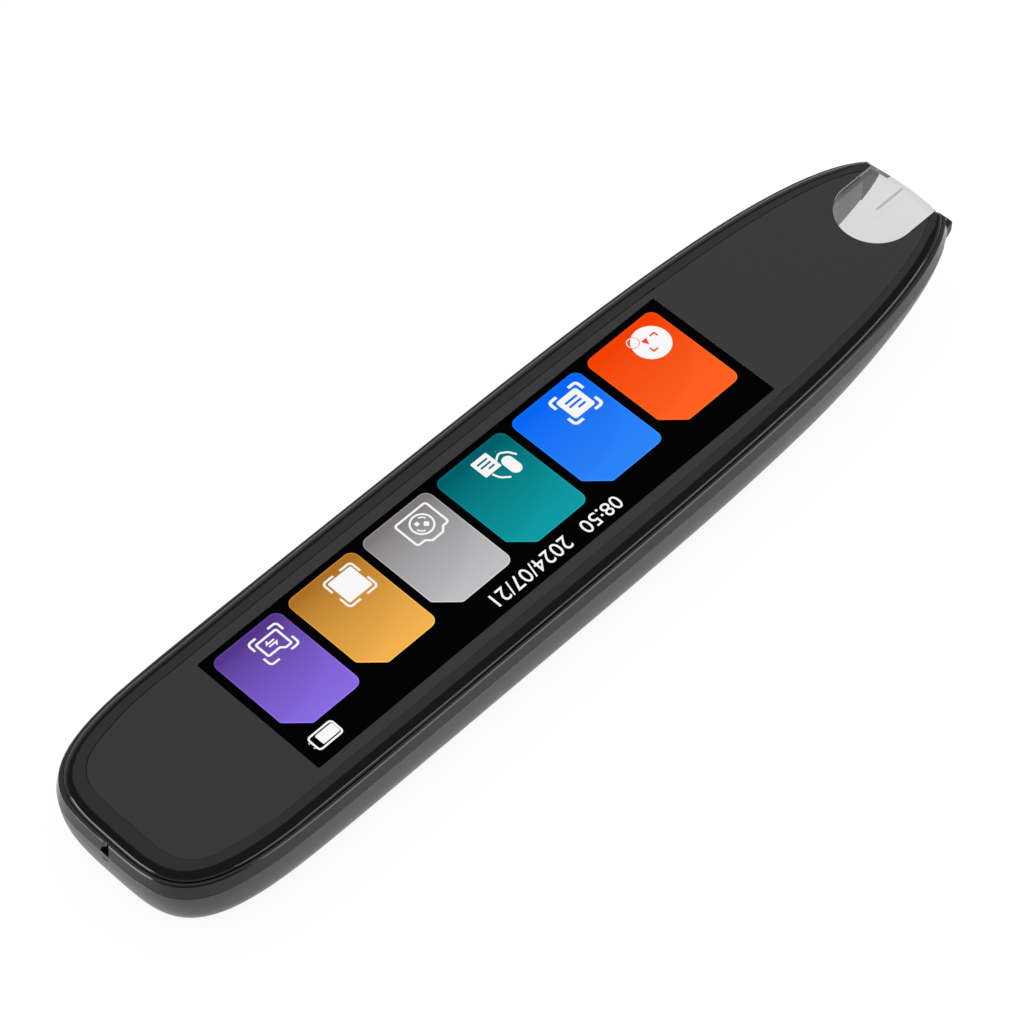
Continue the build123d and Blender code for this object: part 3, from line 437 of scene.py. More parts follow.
@dataclass(frozen=True)
class Gloss(Finish):
    """Polished plastic or printed glass: a clear surface with faint smears and a soft waviness.

    Attributes:
        specular: Specular level, 0.5 for a refractive index of 1.5.
        smear: Added roughness where the surface was touched.
        wave: Depth of the moulding's waviness, in metres.
        mottle: Share by which the colour varies.
        cloud: Size of the smears, in metres.
        swell: Length of the waviness, in metres.
    """

    specular: float = 0.5
    smear: float = 0.04
    wave: float = 0.0000008
    mottle: float = 0.15
    cloud: float = 0.012
    swell: float = 0.006

    def build(self, sheet: NodeSheet) -> None:
        """Add smears and waviness."""
        cloud = sheet.noise(self.cloud, detail=5.0)
        sheet.set(
            Base_Color=sheet.tone(cloud, self.colour, 1 - self.mottle, 1 + self.mottle),
            Roughness=sheet.spread(cloud, self.roughness, self.roughness + self.smear),
            Specular_IOR_Level=self.specular,
        )
        sheet.bump(sheet.noise(self.swell, detail=1.0), self.wave)


@dataclass(frozen=True)
class PrintedGlass(Gloss):
    """Printed glass whose edge below the top is painted paler: a painted highlight where the bevel
    catches the light.

    Attributes:
        top: Height of the glass's top, below which the edge is painted paler, in metres.
        painted_glint: Colour of the edge's painted highlight.
        start: Depth at which the edge begins, in metres.
        full: Depth at which it is all painted, in metres.
    """

    top: float = 0.01195
    painted_glint: Colour = (0.11, 0.11, 0.11)
    start: float = 0.000006
    full: float = 0.00001

    def build(self, sheet: NodeSheet) -> None:
        """Add the glossy face, then the edge's painted highlight below it."""
        super().build(sheet)
        height = sheet.axes(sheet.place())[2]
        # Painted highlight: below the top, the bevel and sides are painted paler in place of the
        # light the bevel catches.
        edge = sheet.ramp(height, self.top - self.start, self.top - self.full)
        sheet.overpaint(edge, self.painted_glint)


@dataclass(frozen=True)
class Metal(Finish):
    """Sheet metal, foil or turned metal: grain that runs one way, and dull spots.

    Attributes:
        run: Scale of the grain along each axis.
        grain: Size of the grain across its run, in metres.
        depth: Depth of the grain, in metres.
        spots: Size of the dull spots, in metres.
        dull: Factor on the colour in them.
        bright: Factor on the colour between them.
        smooth: Factor on the roughness along the grain's smooth streaks.
        rough: Factor along its rough ones.
    """

    run: Place = (1, 8, 8)
    grain: float = 0.0004
    depth: float = 0.000002
    spots: float = 0.004
    dull: float = 0.82
    bright: float = 1.1
    smooth: float = 0.8
    rough: float = 1.3

    def build(self, sheet: NodeSheet) -> None:
        """Add the grain, the spots and the metal surface."""
        streak = sheet.noise(self.grain, stretch=self.run)
        sheet.set(
            Base_Color=sheet.tone(sheet.noise(self.spots), self.colour, self.dull, self.bright),
            Roughness=sheet.spread(
                streak, self.roughness * self.smooth, self.roughness * self.rough
            ),
            Metallic=1.0,
        )
        sheet.bump(streak, self.depth)


@dataclass(frozen=True)
class Laminate(Finish):
    """Circuit board or flex: a resist film over copper tracks.

    Attributes:
        track: Colour where a track lies under the film.
        pitch: Pitch of the tracks, in metres.
        width: A track's width, as a share of the pitch.
        shift: How far each row is moved along the last, as a share of a cell.
        depth: Depth of the relief, in metres.
        relief: Strength of the relief.
        second: Factor on the colour in every other cell.
        speck: Size of the film's specks, in metres.
        smooth: Factor on the roughness between them.
        rough: Factor on it in them.
    """

    track: Colour = (0.02, 0.16, 0.08)
    pitch: float = 0.0012
    width: float = 0.06
    shift: float = 0.37
    depth: float = 0.00001
    relief: float = 0.6
    second: float = 1.2
    speck: float = 0.0008
    smooth: float = 0.8
    rough: float = 1.25

    def build(self, sheet: NodeSheet) -> None:
        """Add the tracks, their relief and the film's gloss."""
        inputs = {
            "Vector": sheet.place(),
            "Scale": 1 / self.pitch,
            "Mortar Size": self.width,
            "Color1": self.colour,
            "Color2": scaled(self.colour, self.second),
            "Mortar": self.track,
        }
        cells = sheet.add("TexBrick", inputs, offset=self.shift).outputs
        speck = sheet.noise(self.speck)
        sheet.set(
            Base_Color=cells["Color"],
            Roughness=sheet.spread(
                speck, self.roughness * self.smooth, self.roughness * self.rough
            ),
        )
        sheet.bump(cells["Fac"], self.depth, self.relief)


@dataclass(frozen=True)
class Clear(Finish):
    """Clear or tinted glass and plastic, with faint scuffs.

    Attributes:
        index: Refractive index.
        passing: Share of light that passes, the rest being the base colour's own surface.
        scuff: Size of the scuffs, in metres.
        wear: Added roughness in them.
        dull: Factor on the colour in them.
    """

    index: float = 1.49
    passing: float = 1.0
    scuff: float = 0.003
    wear: float = 0.03
    dull: float = 0.985

    def build(self, sheet: NodeSheet) -> None:
        """Add the scuffs and the see-through surface."""
        scuff = sheet.noise(self.scuff, detail=6.0)
        sheet.set(
            Base_Color=sheet.tone(scuff, self.colour, self.dull, 1.0),
            Roughness=sheet.spread(scuff, self.roughness, self.roughness + self.wear),
            IOR=self.index,
            Transmission_Weight=self.passing,
        )


@dataclass(frozen=True)
class EdgedPane(Clear):
    """A clear pane whose edge, under the cover's rim, is painted dark.

    Attributes:
        centre_x: Middle of the pane's round end along X.
        radius: Distance from the pane's middle line at which the paint begins.
        soft: Distance over which the paint grows full.
        paint: Colour of the paint.
    """

    centre_x: float = 0.0683
    radius: float = 0.0059
    soft: float = 0.00005
    paint: Colour = (0.12, 0.12, 0.12)

    def build(self, sheet: NodeSheet) -> None:
        """Add the clear pane, then the paint where the edge begins."""
        super().build(sheet)
        x, y, _ = sheet.axes(sheet.place())
        behind = sheet.maths("MINIMUM", sheet.maths("SUBTRACT", x, self.centre_x), 0.0)
        spot = sheet.flat(behind, y)
        length = sheet.get("Value", "VectorMath", {0: spot}, operation="LENGTH")
        edge = sheet.ramp(length, self.radius, self.radius + self.soft)
        sheet.overpaint(edge, self.paint)
        sheet.set(Transmission_Weight=sheet.maths("SUBTRACT", self.passing, edge))


@dataclass(frozen=True)
class Woven(Finish):
    """A fine woven mesh.

    Attributes:
        pitch: Pitch of the threads, in metres.
        depth: Depth of the weave, in metres.
        under: Factor on the colour of the threads that pass below.
        fuzz: Sheen of the threads.
    """

    pitch: float = 0.0002
    depth: float = 0.00003
    under: float = 0.4
    fuzz: float = 0.2

    def build(self, sheet: NodeSheet) -> None:
        """Add the threads' relief and colour."""
        under = scaled(self.colour, self.under)
        threads, relief = sheet.checks(self.pitch, self.colour, under)
        sheet.set(Base_Color=threads, Roughness=self.roughness, Sheen_Weight=self.fuzz)
        sheet.bump(relief, self.depth)


@dataclass(frozen=True)
class TwoShot(Moulded):
    """The scan shoe's plastic: a pale lining with dark feet moulded onto its front.

    Attributes:
        feet: Colour of the feet.
        feet_dark: Factor on it in its darkest patches.
        feet_light: Factor in its lightest.
        border: Station along X where the feet begin, in metres.
        soft: Half the width of the border, in metres.
    """

    feet: Colour = (0.01, 0.01, 0.01)
    feet_dark: float = 0.85
    feet_light: float = 1.15
    border: float = 0.0728
    soft: float = 0.00002

    def build(self, sheet: NodeSheet) -> None:
        """Add the lining, then the feet in front of the border."""
        super().build(sheet)
        x = sheet.axes(sheet.place())[0]
        front = sheet.ramp(x, self.border - self.soft, self.border + self.soft)
        feet = self.patches(sheet, self.feet, self.feet_dark, self.feet_light)
        sheet.overpaint(front, feet)


@dataclass(frozen=True)
class Lit(Finish):
    """A lit area of the screen: its tone rises from top to bottom, past a soft arc.

    Attributes:
        bright: Colour at the area's bottom.
        centre: Middle of the area in plan, in metres.
        reach: Half the length over which the tone rises, in metres.
        curve: Exponent of the rise, under 1 where it is quickest at first.
        arc_centre: Middle of the soft arc, from the area's middle.
        arc_radius: Radius of the arc, outside which the tone is lighter.
        arc_full: Radius at which it is lightest, as a share of the arc's.
        lift: Share by which it is lighter there.
    """

    bright: Colour = (1, 1, 1)
    centre: Point = (0.0, 0.0)
    reach: float = 0.0071
    curve: float = 0.75
    arc_centre: Point = (-0.005, 0.008)
    arc_radius: float = 0.0125
    arc_full: float = 1.12
    lift: float = 0.05

    def build(self, sheet: NodeSheet) -> None:
        """Add the rising tone, the arc, a faint pixel grid and the screen's own light."""
        shift = (-self.centre[0], -self.centre[1], 0)
        spot = sheet.get("Vector", "Mapping", {"Vector": sheet.place(), "Location": shift})
        x, y, _ = sheet.axes(spot)
        rise = sheet.maths("POWER", sheet.ramp(y, self.reach, -self.reach), self.curve)
        ends = {0: sheet.flat(x, y), 1: (*self.arc_centre, 0.0)}
        ring = sheet.get("Value", "VectorMath", ends, operation="DISTANCE")
        lift = sheet.ramp(
            ring, self.arc_radius, self.arc_radius * self.arc_full, 1.0, 1.0 + self.lift,
            interpolation_type="SMOOTHSTEP",
        )
        pixels = sheet.checks(PIXEL, (1, 1, 1), (PIXEL_DIM, PIXEL_DIM, PIXEL_DIM))[0]
        both = {0: sheet.mix(rise, self.colour, self.bright), 1: pixels}
        toned = sheet.get("Vector", "VectorMath", both, operation="MULTIPLY")
        light = sheet.get("Vector", "VectorMath", {0: toned, "Scale": lift}, operation="SCALE")
        sheet.glow(light, self.roughness)


@dataclass(frozen=True)
class Pale(Finish):
    """The white signs on the screen, lit by the screen itself."""

    def build(self, sheet: NodeSheet) -> None:
        """Add the sign's light, with a faint pixel grid."""
        light = sheet.checks(PIXEL, self.colour, scaled(self.colour, PIXEL_DIM))[0]
        sheet.glow(light, self.roughness)


SHELL = Moulded("satin_shell", (0.019, 0.019, 0.0194), 0.34)
FRAME = Gloss("gloss_frame", (0.004, 0.004, 0.0041), 0.10, specular=0.38, smear=0.04)
BEZEL = Gloss("gloss_bezel", (0.004, 0.004, 0.0042), 0.09, specular=0.36, smear=0.03)
# The cover's paler bevel is a painted highlight.
COVER = PrintedGlass("printed_cover", (0.003, 0.003, 0.003), 0.12, smear=0.02)
PANE = Gloss("dark_pane", (0.0006, 0.0006, 0.0006), 0.25, specular=0.01, smear=0.05)
WINDOW = EdgedPane("scan_pane", (0.68, 0.682, 0.685), 0.02)
GUIDE = Moulded("guide_line", (0.8, 0.8, 0.8), 0.5, dark=0.97, light=1.03)
SHOE = TwoShot(
    "shoe_plastic", (0.34, 0.34, 0.345), 0.4,
    grain=0.0002, depth=0.000003, dark=0.92, light=1.06, cloud=0.004,
)
BUTTON = Moulded("button_plastic", (0.02, 0.02, 0.021), 0.36)
STEEL = Metal("stamped_steel", (0.56, 0.56, 0.57), 0.28)
SPRING = Metal("spring_steel", (0.5, 0.5, 0.5), 0.22)
BRASS = Metal("turned_brass", (0.75, 0.53, 0.22), 0.25, run=(8, 8, 1))
GOLD = Metal("gold_contact", (0.83, 0.6, 0.27), 0.2)
FOIL = Metal("pouch_foil", (0.5, 0.51, 0.53), 0.4, run=(1, 1, 1), grain=0.0012)
SCREW = Metal("black_screw", (0.05, 0.05, 0.05), 0.35)
BOARD = Laminate("resist_board", (0.008, 0.09, 0.045), 0.3)
FLEX = Laminate("amber_flex", (0.33, 0.13, 0.02), 0.35, track=(0.5, 0.24, 0.06), pitch=0.0006)
CHIP = Moulded("moulded_chip", (0.015, 0.015, 0.016), 0.55)
IVORY = Moulded("connector_plastic", (0.6, 0.56, 0.45), 0.5)
BACKLIGHT = Moulded("backlight_film", (0.8, 0.81, 0.81), 0.6)
PANEL = Gloss("panel_glass", (0.01, 0.01, 0.012), 0.08)
FILM = Gloss("picture_film", (0.01, 0.01, 0.011), 0.2)
TAPE = Moulded("black_tape", (0.008, 0.008, 0.008), 0.7)
HOLDER = Moulded("camera_holder", (0.012, 0.012, 0.012), 0.5)
LENS = Clear("coated_lens", (0.6, 0.5, 0.8), 0.01, index=1.6)
SENSOR = Gloss("sensor_glass", (0.03, 0.05, 0.04), 0.08)
LAMP = Moulded("lamp_phosphor", (0.78, 0.7, 0.3), 0.45)
FOAM = Moulded("dark_foam", (0.02, 0.02, 0.02), 0.9, grain=0.0003, depth=0.00003)
MESH = Woven("woven_mesh", (0.03, 0.03, 0.03), 0.8)
RUBBER = Moulded("boot_rubber", (0.02, 0.02, 0.02), 0.75)
WHITE = Pale("sign_white", (0.95, 0.95, 0.95), 0.6)

NODE_FINISHES: dict[str, Finish] = {
    "lower_shell": SHELL,
    "middle_frame": FRAME,
    "bezel": BEZEL,
    "cover_tape": TAPE,
    "display_tray": STEEL,
    "backlight_sheet": BACKLIGHT,
    "display_panel": PANEL,
    "screen_film": FILM,
    "display_flex": FLEX,
    "scan_window": WINDOW,
    "scan_shoe": SHOE,
    "return_springs": SPRING,
    "trigger_switch": CHIP,
    "camera_holder": HOLDER,
    "camera_barrel": HOLDER,
    "camera_glass": LENS,
    "image_sensor": SENSOR,
    "sensor_board": BOARD,
    "lamp_board": BOARD,
    "lamps": LAMP,
    "camera_flex": FLEX,
    "main_board": BOARD,
    "shield_cans": STEEL,
    "board_chips": CHIP,
    "board_connectors": IVORY,
    "battery_cell": FOIL,
    "battery_board": BOARD,
    "battery_pad": FOAM,
    "battery_flex": FLEX,
    "speaker": HOLDER,
    "speaker_gasket": FOAM,
    "speaker_mesh": MESH,
    "usb_socket": STEEL,
    "usb_tongue": CHIP,
    "power_button": BUTTON,
    "power_switch": CHIP,
    "mic_boot": RUBBER,
    "microphone": STEEL,
    "mic_board": BOARD,
    "antenna_flex": FLEX,
    "threaded_inserts": BRASS,
    "frame_screws": SCREW,
    "board_screws": SCREW,
}


# ---------------------------------------------------------------------------- modelling bench
def clear_selection() -> None:
    """Leave edit mode and deselect every object."""
    if bpy.context.object is not None and bpy.context.object.mode != "OBJECT":
        bpy.ops.object.mode_set(mode="OBJECT")
    bpy.ops.object.select_all(action="DESELECT")


def pick(piece: Piece) -> None:
    """Select one object alone and make it active."""
    clear_selection()
    piece.select_set(True)
    bpy.context.view_layer.objects.active = piece


def settle(piece: Piece, name: str) -> Piece:
    """Apply a finished piece's place, turn and scale, and name it.

    Args:
        piece: The piece.
        name: Its name.

    Returns:
        The same piece.
    """
    pick(piece)
    bpy.ops.object.transform_apply(location=True, rotation=True, scale=True)
    piece.name = name
    piece.data.name = name
    return piece


def apply_modifier(piece: Piece, kind: str, **settings: object) -> None:
    """Add a modifier, set it and apply it.

    Args:
        piece: The piece.
        kind: The modifier's type.
        settings: Property values of the modifier.
    """
    pick(piece)
    modifier = piece.modifiers.new(kind.lower(), kind)
    for key, value in settings.items():
        setattr(modifier, key, value)
    bpy.ops.object.modifier_apply(modifier=modifier.name)


@contextmanager
def editing(piece: Piece, action: str = "SELECT") -> Iterator[None]:
    """Edit a piece's mesh.

    Args:
        piece: The piece.
        action: "SELECT" to begin with all of it selected, "DESELECT" with none.

    Yields:
        Nothing, once, while the mesh can be edited.
    """
    pick(piece)
    bpy.ops.object.mode_set(mode="EDIT")
    bpy.ops.mesh.select_all(action=action)
    yield
    bpy.ops.object.mode_set(mode="OBJECT")


@contextmanager
def editing_only(
    piece: Piece, kind: str, chosen: Callable[[object], bool]
) -> Iterator[None]:
    """Edit some of the edges or faces of a piece's mesh.

    Args:
        piece: The piece.
        kind: "EDGE" or "FACE".
        chosen: Says whether an edge or a face is one of them.

    Yields:
        Nothing, once, while they can be edited.
    """
    with editing(piece, "DESELECT"):
        bpy.ops.mesh.select_mode(type=kind)
    for item in piece.data.edges if kind == "EDGE" else piece.data.polygons:
        item.select = chosen(item)
    bpy.ops.object.mode_set(mode="EDIT")
    yield
    bpy.ops.mesh.select_mode(type="VERT")
    bpy.ops.object.mode_set(mode="OBJECT")


def join(parts: list[Piece]) -> Piece:
    """Join parts into one piece.

    Args:
        parts: The parts.

    Returns:
        The piece.
    """
    pick(parts[0])
    for part in parts:
        part.select_set(True)
    if len(parts) > 1:
        bpy.ops.object.join()
    return bpy.context.object


def loop(points: list[Point], level: float, filled: bool) -> Piece:
    """Add a circle and move its points onto an outline in plan.

    Args:
        points: The outline, anticlockwise, in metres.
        level: Height above the belly, in metres.
        filled: True for a face, False for a line.

    Returns:
        The new object.
    """
    clear_selection()
    bpy.ops.mesh.primitive_circle_add(
        vertices=len(points), radius=MM, fill_type="NGON" if filled else "NOTHING"
    )
    shape = bpy.context.object
    for vertex, (x, y) in zip(shape.data.vertices, points):
        vertex.co = (x, y, level)
    return shape


def raise_up(shape: Piece, height: float) -> None:
    """Extrude all of a flat shape upwards.

    Args:
        shape: The flat shape.
        height: Height to raise it by, in metres.
    """
    with editing(shape):
        bpy.ops.mesh.extrude_region_move(TRANSFORM_OT_translate={"value": (0, 0, height)})
        bpy.ops.mesh.select_all(action="SELECT")
        bpy.ops.mesh.normals_make_consistent(inside=False)


def plate(points: list[Point], bottom: float, top: float) -> Piece:
    """A flat plate of any outline.

    Args:
        points: The outline, anticlockwise, in metres.
        bottom: Height of its underside, in metres.
        top: Height of its top, in metres.

    Returns:
        The plate.
    """
    shape = loop(points, bottom, filled=True)
    raise_up(shape, top - bottom)
    return shape


def stroke(
    points: list[Point], width: float, bottom: float, top: float, closed: bool
) -> Piece:
    """A raised line of even width along a path.

    Args:
        points: The path, in metres.
        width: The line's width, in metres.
        bottom: Height of its underside, in metres.
        top: Height of its top, in metres.
        closed: True if the path closes on itself.

    Returns:
        The raised line.
    """
    path = loop(points, bottom, filled=False)
    if not closed:
        ends = {0, len(points) - 1}
        with editing_only(path, "EDGE", lambda edge: set(edge.vertices) == ends):
            bpy.ops.mesh.delete(type="EDGE")
    raise_up(path, top - bottom)
    apply_modifier(path, "SOLIDIFY", thickness=width, offset=0.0, use_even_offset=True)
    return path


def arc(centre: Point, radius: float, start: float, end: float, steps: int) -> list[Point]:
    """Points along an arc in plan.

    Args:
        centre: The arc's centre.
        radius: Its radius.
        start: First angle, in degrees.
        end: Last angle, in degrees.
        steps: Number of steps between the ends.

    Returns:
        The points, both ends included.
    """
    angles = [math.radians(start + (end - start) * step / steps) for step in range(steps + 1)]
    return [(centre[0] + radius * math.cos(a), centre[1] + radius * math.sin(a)) for a in angles]


def rounded(centre: Point, length: float, width: float, radius: float) -> list[Point]:
    """The outline of a rectangle with round corners.

    Args:
        centre: Middle of the rectangle.
        length: Size along X.
        width: Size along Y.
        radius: Radius of the corners.

    Returns:
        The outline, anticlockwise.
    """
    x, y = length / 2, width / 2
    corners = ((x, -y), (x, y), (-x, y), (-x, -y))
    return turned([(centre[0] + cx, centre[1] + cy, radius) for cx, cy in corners])


def turned(corners: list[tuple[float, float, float]], closed: bool = True) -> list[Point]:
    """A path with each of its corners rounded by its own radius.

    Args:
        corners: The corners, each with its radius; the ends of an open path stay sharp.
        closed: True if the path closes on itself.

    Returns:
        The path's points.
    """
    points: list[Point] = []
    for step, (x, y, radius) in enumerate(corners):
        if radius == 0 or not closed and step in (0, len(corners) - 1):
            points.append((x, y))
            continue
        here = Vector((x, y))
        before = (Vector(corners[step - 1][:2]) - here).normalized()
        after = (Vector(corners[(step + 1) % len(corners)][:2]) - here).normalized()
        half = before.angle(after) / 2
        centre = here + (before + after).normalized() * (radius / math.sin(half))
        reach = radius / math.tan(half)
        first = here + before * reach - centre
        last = here + after * reach - centre
        sweep = math.degrees(math.atan2(first.x * last.y - first.y * last.x, first.dot(last)))
        start = math.degrees(math.atan2(first.y, first.x))
        points += arc((centre.x, centre.y), radius, start, start + sweep, CORNER_STEPS)
    return points


def twin(piece: Piece) -> Piece:
    """A copy of a piece, with its own mesh."""
    copied = piece.copy()
    copied.data = copied.data.copy()
    bpy.context.scene.collection.objects.link(copied)
    return copied


def copy_node(node: str, name: str) -> Piece:
    """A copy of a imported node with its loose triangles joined.

    Args:
        node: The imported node's name.
        name: The copy's name.

    Returns:
        The copy, free of its body.
    """
    copied = twin(frame["nodes"][node])
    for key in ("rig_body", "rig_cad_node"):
        if key in copied:
            del copied[key]
    copied.parent = None
    with editing(copied):
        bpy.ops.mesh.remove_doubles(threshold=WELD)
        bpy.ops.mesh.tris_convert_to_quads()
    copied.name = name
    copied.data.name = name
    return copied


def smooth(piece: Piece, angle: float = 30.0) -> None:
    """Shade a piece smooth except at its sharp edges.

    Args:
        piece: The piece.
        angle: The sharp edges' least angle, in degrees.
    """
    pick(piece)
    bpy.ops.object.shade_smooth_by_angle(angle=math.radians(angle))


def part_flats(piece: Piece, least: float = 0.99995) -> None:
    """Keep the shading of level faces apart from what curves away from them.

    Args:
        piece: The piece.
        least: Least height of a level face's normal.
    """
    level: dict[tuple[int, int], set[bool]] = {}
    for face in piece.data.polygons:
        for key in face.edge_keys:
            level.setdefault(key, set()).add(face.normal.z > least)
    for edge in piece.data.edges:
        if len(level.get(edge.key, ())) > 1:
            edge.use_edge_sharp = True


def report(piece: Piece, body: Body, finish: Finish) -> Piece:
    """Dress a finished piece, let it ride on its body and log it.

    Args:
        piece: The piece.
        body: The body it rides on.
        finish: Its finish.

    Returns:
        The same piece.
    """
    finish.dress(piece)
    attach(piece, body.value)
    log.info("%s rides on %s, %d faces", piece.name, body.value, len(piece.data.polygons))
    return piece


def metres(points: list[Point]) -> list[Point]:
    """An outline in millimetres, turned into metres."""
    return [(x * MM, y * MM) for x, y in points]


def picture_middle() -> float:
    """Middle of the screen's picture along X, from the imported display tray."""
    low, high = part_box("display_tray")
    return (low.x + high.x) / 2


# ---------------------------------------------------------------------------- sub-assemblies
@dataclass
class Cover:
    """The dark cover plate round the screen, with a fine bevel that catches the light.

    Attributes:
        length: Length of the screen's opening.
        width: Width of the opening.
        corner: Radius of the opening's corners.
        bevel: Width of the bevel round the plate.
        pane_depth: Thickness of the dark pane in the opening.
        pane_drop: The pane's top below the plate's top.
        sharp: Least angle of the edges that are bevelled, in degrees.
    """

    length: float = 0.0851
    width: float = 0.0225
    corner: float = 0.00025
    bevel: float = 0.00014
    pane_depth: float = 0.0005
    pane_drop: float = 0.00001
    sharp: float = 50.0

    def build(self) -> None:
        """Cut the opening into a copy of the cover, bevel it, and set the pane in."""
        low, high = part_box("cover_lens")
        top = high.z
        cover = copy_node("cover_lens", "cover_plate")
        opening = rounded((picture_middle(), 0), self.length, self.width, self.corner)
        cutter = plate(opening, low.z - MM, top + MM)
        apply_modifier(cover, "BOOLEAN", object=cutter, operation="DIFFERENCE", solver="EXACT")
        bpy.data.objects.remove(cutter)
        apply_modifier(
            cover, "BEVEL", width=self.bevel, segments=3, limit_method="ANGLE",
            angle_limit=math.radians(self.sharp),
        )
        smooth(cover)
        part_flats(cover)
        apply_modifier(cover, "WEIGHTED_NORMAL", keep_sharp=True, weight=100)
        settle(cover, "cover_plate")
        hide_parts("cover_lens")
        report(cover, Body.HOUSING, COVER)

        pane = plate(opening, top - self.pane_depth, top - self.pane_drop)
        settle(pane, "screen_pane")
        report(pane, Body.HOUSING, PANE)


@dataclass
class Rim:
    """The glossy rim round the cover, softly crowned, with a rounded nose on each arm.

    Sizes are in millimetres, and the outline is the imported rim's own.

    Attributes:
        half_width: Half the rim's width.
        tail: Its rear end.
        widest: The widest station.
        apex: Where the outline would close at the front.
        front: Its front end.
        fullness: How square the tail's corners are.
        tail_power: How long the sides stay full towards the tail.
        nose_power: How late the sides draw in towards the front.
        nose_fullness: How square the front is.
        slack: How far the crown's foot stands outside the rim.
        crown_width: Width of the crown.
        crown_height: Height of the crown.
        nose: Radius of an arm's outer end.
        nose_inner: Radius of its inner end.
        nose_front: Front of the arms' ends.
        nose_room: Length over which an arm's end takes over from the side.
        notch: Distance from the middle line to an arm's inner side.
        arm_depth: How far that side runs back from the front.
        arm_lean: How far it leans towards the middle line there.
        arm_share: Least share of an inset, at the arms' front.
        arm_reach: Length over which the share would grow by the whole inset.
        tail_steps: Points from the tail to the widest station.
        tail_pace: Exponent of their steps, under 1 where they draw together at the side.
        front_steps: Points from there to the front.
        crown_angles: Turn of the crown's surface at each level, in degrees.
    """

    half_width: float = 15.6
    tail: float = -75.35
    widest: float = -27.3
    apex: float = 77.0
    front: float = 74.4
    fullness: float = 3.7
    tail_power: float = 6.5
    nose_power: float = 4.1
    nose_fullness: float = 2.9
    slack: float = 0.04
    crown_width: float = 1.35
    crown_height: float = 0.8
    nose: float = 1.25
    nose_inner: float = 0.45
    nose_front: float = 74.32
    nose_room: float = 1.2
    notch: float = 6.05
    arm_depth: float = 0.8
    arm_lean: float = 0.3
    arm_share: float = 0.3
    arm_reach: float = 6.0
    tail_steps: int = 48
    tail_pace: float = 0.7
    front_steps: int = 72
    crown_angles: tuple[int, ...] = (2, 12, 22, 32, 42, 52, 62, 70, 78, 84, 90)

    def side(self) -> list[Point]:
        """Points of the left side, from the middle of the tail to the front."""
        points = []
        for step in range(self.tail_steps):
            share = (step / self.tail_steps) ** self.tail_pace
            x = self.widest - (self.widest - self.tail) * (1 - share ** self.fullness) ** (
                1 / self.tail_power
            )
            points.append((x, self.half_width * share))
        for step in range(self.front_steps):
            share = math.sin(math.pi / 2 * step / self.front_steps)
            x = self.widest + (self.front - self.widest) * share
            points.append((x, self.breadth(x)))
        return points

    def breadth(self, x: float) -> float:
        """Half the rim's width at a station in front of the widest."""
        rise = ((x - self.widest) / (self.apex - self.widest)) ** self.nose_power
        return self.half_width * (1 - rise) ** (1 / self.nose_fullness)

    def outline(self) -> list[Point]:
        """The closed outline, anticlockwise, with both noses rounded."""
        side = [point for point in self.side() if point[0] < self.nose_front - self.nose_room]
        left = turned(
            [
                (*side[-1], 0.0),
                (self.nose_front, self.breadth(self.nose_front), self.nose),
                (self.nose_front, self.notch, self.nose_inner),
                (self.nose_front - self.arm_depth, self.notch - self.arm_lean, 0.0),
            ],
            closed=False,
        )
        half = side + left[1:]
        return [(x, -y) for x, y in half[1:]] + half[::-1]

    def level(self, outline: list[Point], inset: float) -> list[Point]:
        """The outline set in by a distance, less so on the arms, where the rim is narrow.

        Args:
            outline: The outline.
            inset: The distance, under 0 to set it out.

        Returns:
            The new outline.
        """
        count = len(outline)
        points = []
        for step, (x, y) in enumerate(outline):
            before, after = outline[step - 1], outline[(step + 1) % count]
            along = Vector((after[0] - before[0], after[1] - before[1])).normalized()
            share = 1.0
            if inset > 0:
                grown = self.arm_share + (self.front - x) / self.arm_reach
                share = min(1.0, max(self.arm_share, grown))
            points.append((x - along.y * inset * share, y + along.x * inset * share))
        return points

    def build(self) -> None:
        """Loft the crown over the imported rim's outline and keep what both share."""
        low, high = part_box("bezel")
        outline = self.outline()
        here = self.level(outline, -self.slack)
        height = high.z - self.crown_height * MM
        envelope = plate(metres(here), low.z - MM, height)
        for angle in self.crown_angles:
            turn = math.radians(angle)
            inset = self.crown_width * (1 - math.cos(turn)) - self.slack * math.cos(turn)
            there = self.level(outline, inset)
            top = high.z - (1 - math.sin(turn)) * self.crown_height * MM
            self.grow(envelope, here, there, top - height)
            here, height = there, top
        self.grow(envelope, here, here, MM)
        rim = copy_node("bezel", "bezel_rim")
        apply_modifier(rim, "BOOLEAN", object=envelope, operation="INTERSECT", solver="EXACT")
        bpy.data.objects.remove(envelope)
        smooth(rim, 40)
        part_flats(rim)
        apply_modifier(rim, "WEIGHTED_NORMAL", keep_sharp=True, weight=100)
        settle(rim, "bezel_rim")
        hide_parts("bezel")
        report(rim, Body.HOUSING, BEZEL)

    def grow(
        self, shape: Piece, here: list[Point], there: list[Point], rise: float
    ) -> None:
        """Extrude the top face and move its points from one outline to the next.

        Args:
            shape: The solid that grows.
            here: The top face's outline.
            there: The outline of the new top face.
            rise: How far the new top lies above the old.
        """
        points = shape.data.vertices
        top = max(vertex.co.z for vertex in points) - LEVEL
        with editing_only(
            shape, "FACE", lambda face: min(points[v].co.z for v in face.vertices) > top
        ):
            bpy.ops.mesh.extrude_region_move(TRANSFORM_OT_translate={"value": (0, 0, rise)})
        old, new = metres(here), metres(there)
        for vertex in shape.data.vertices:
            if vertex.select:
                nearest = min(range(len(old)), key=lambda step: math.dist(old[step], vertex.co.xy))
                vertex.co.x, vertex.co.y = new[nearest]


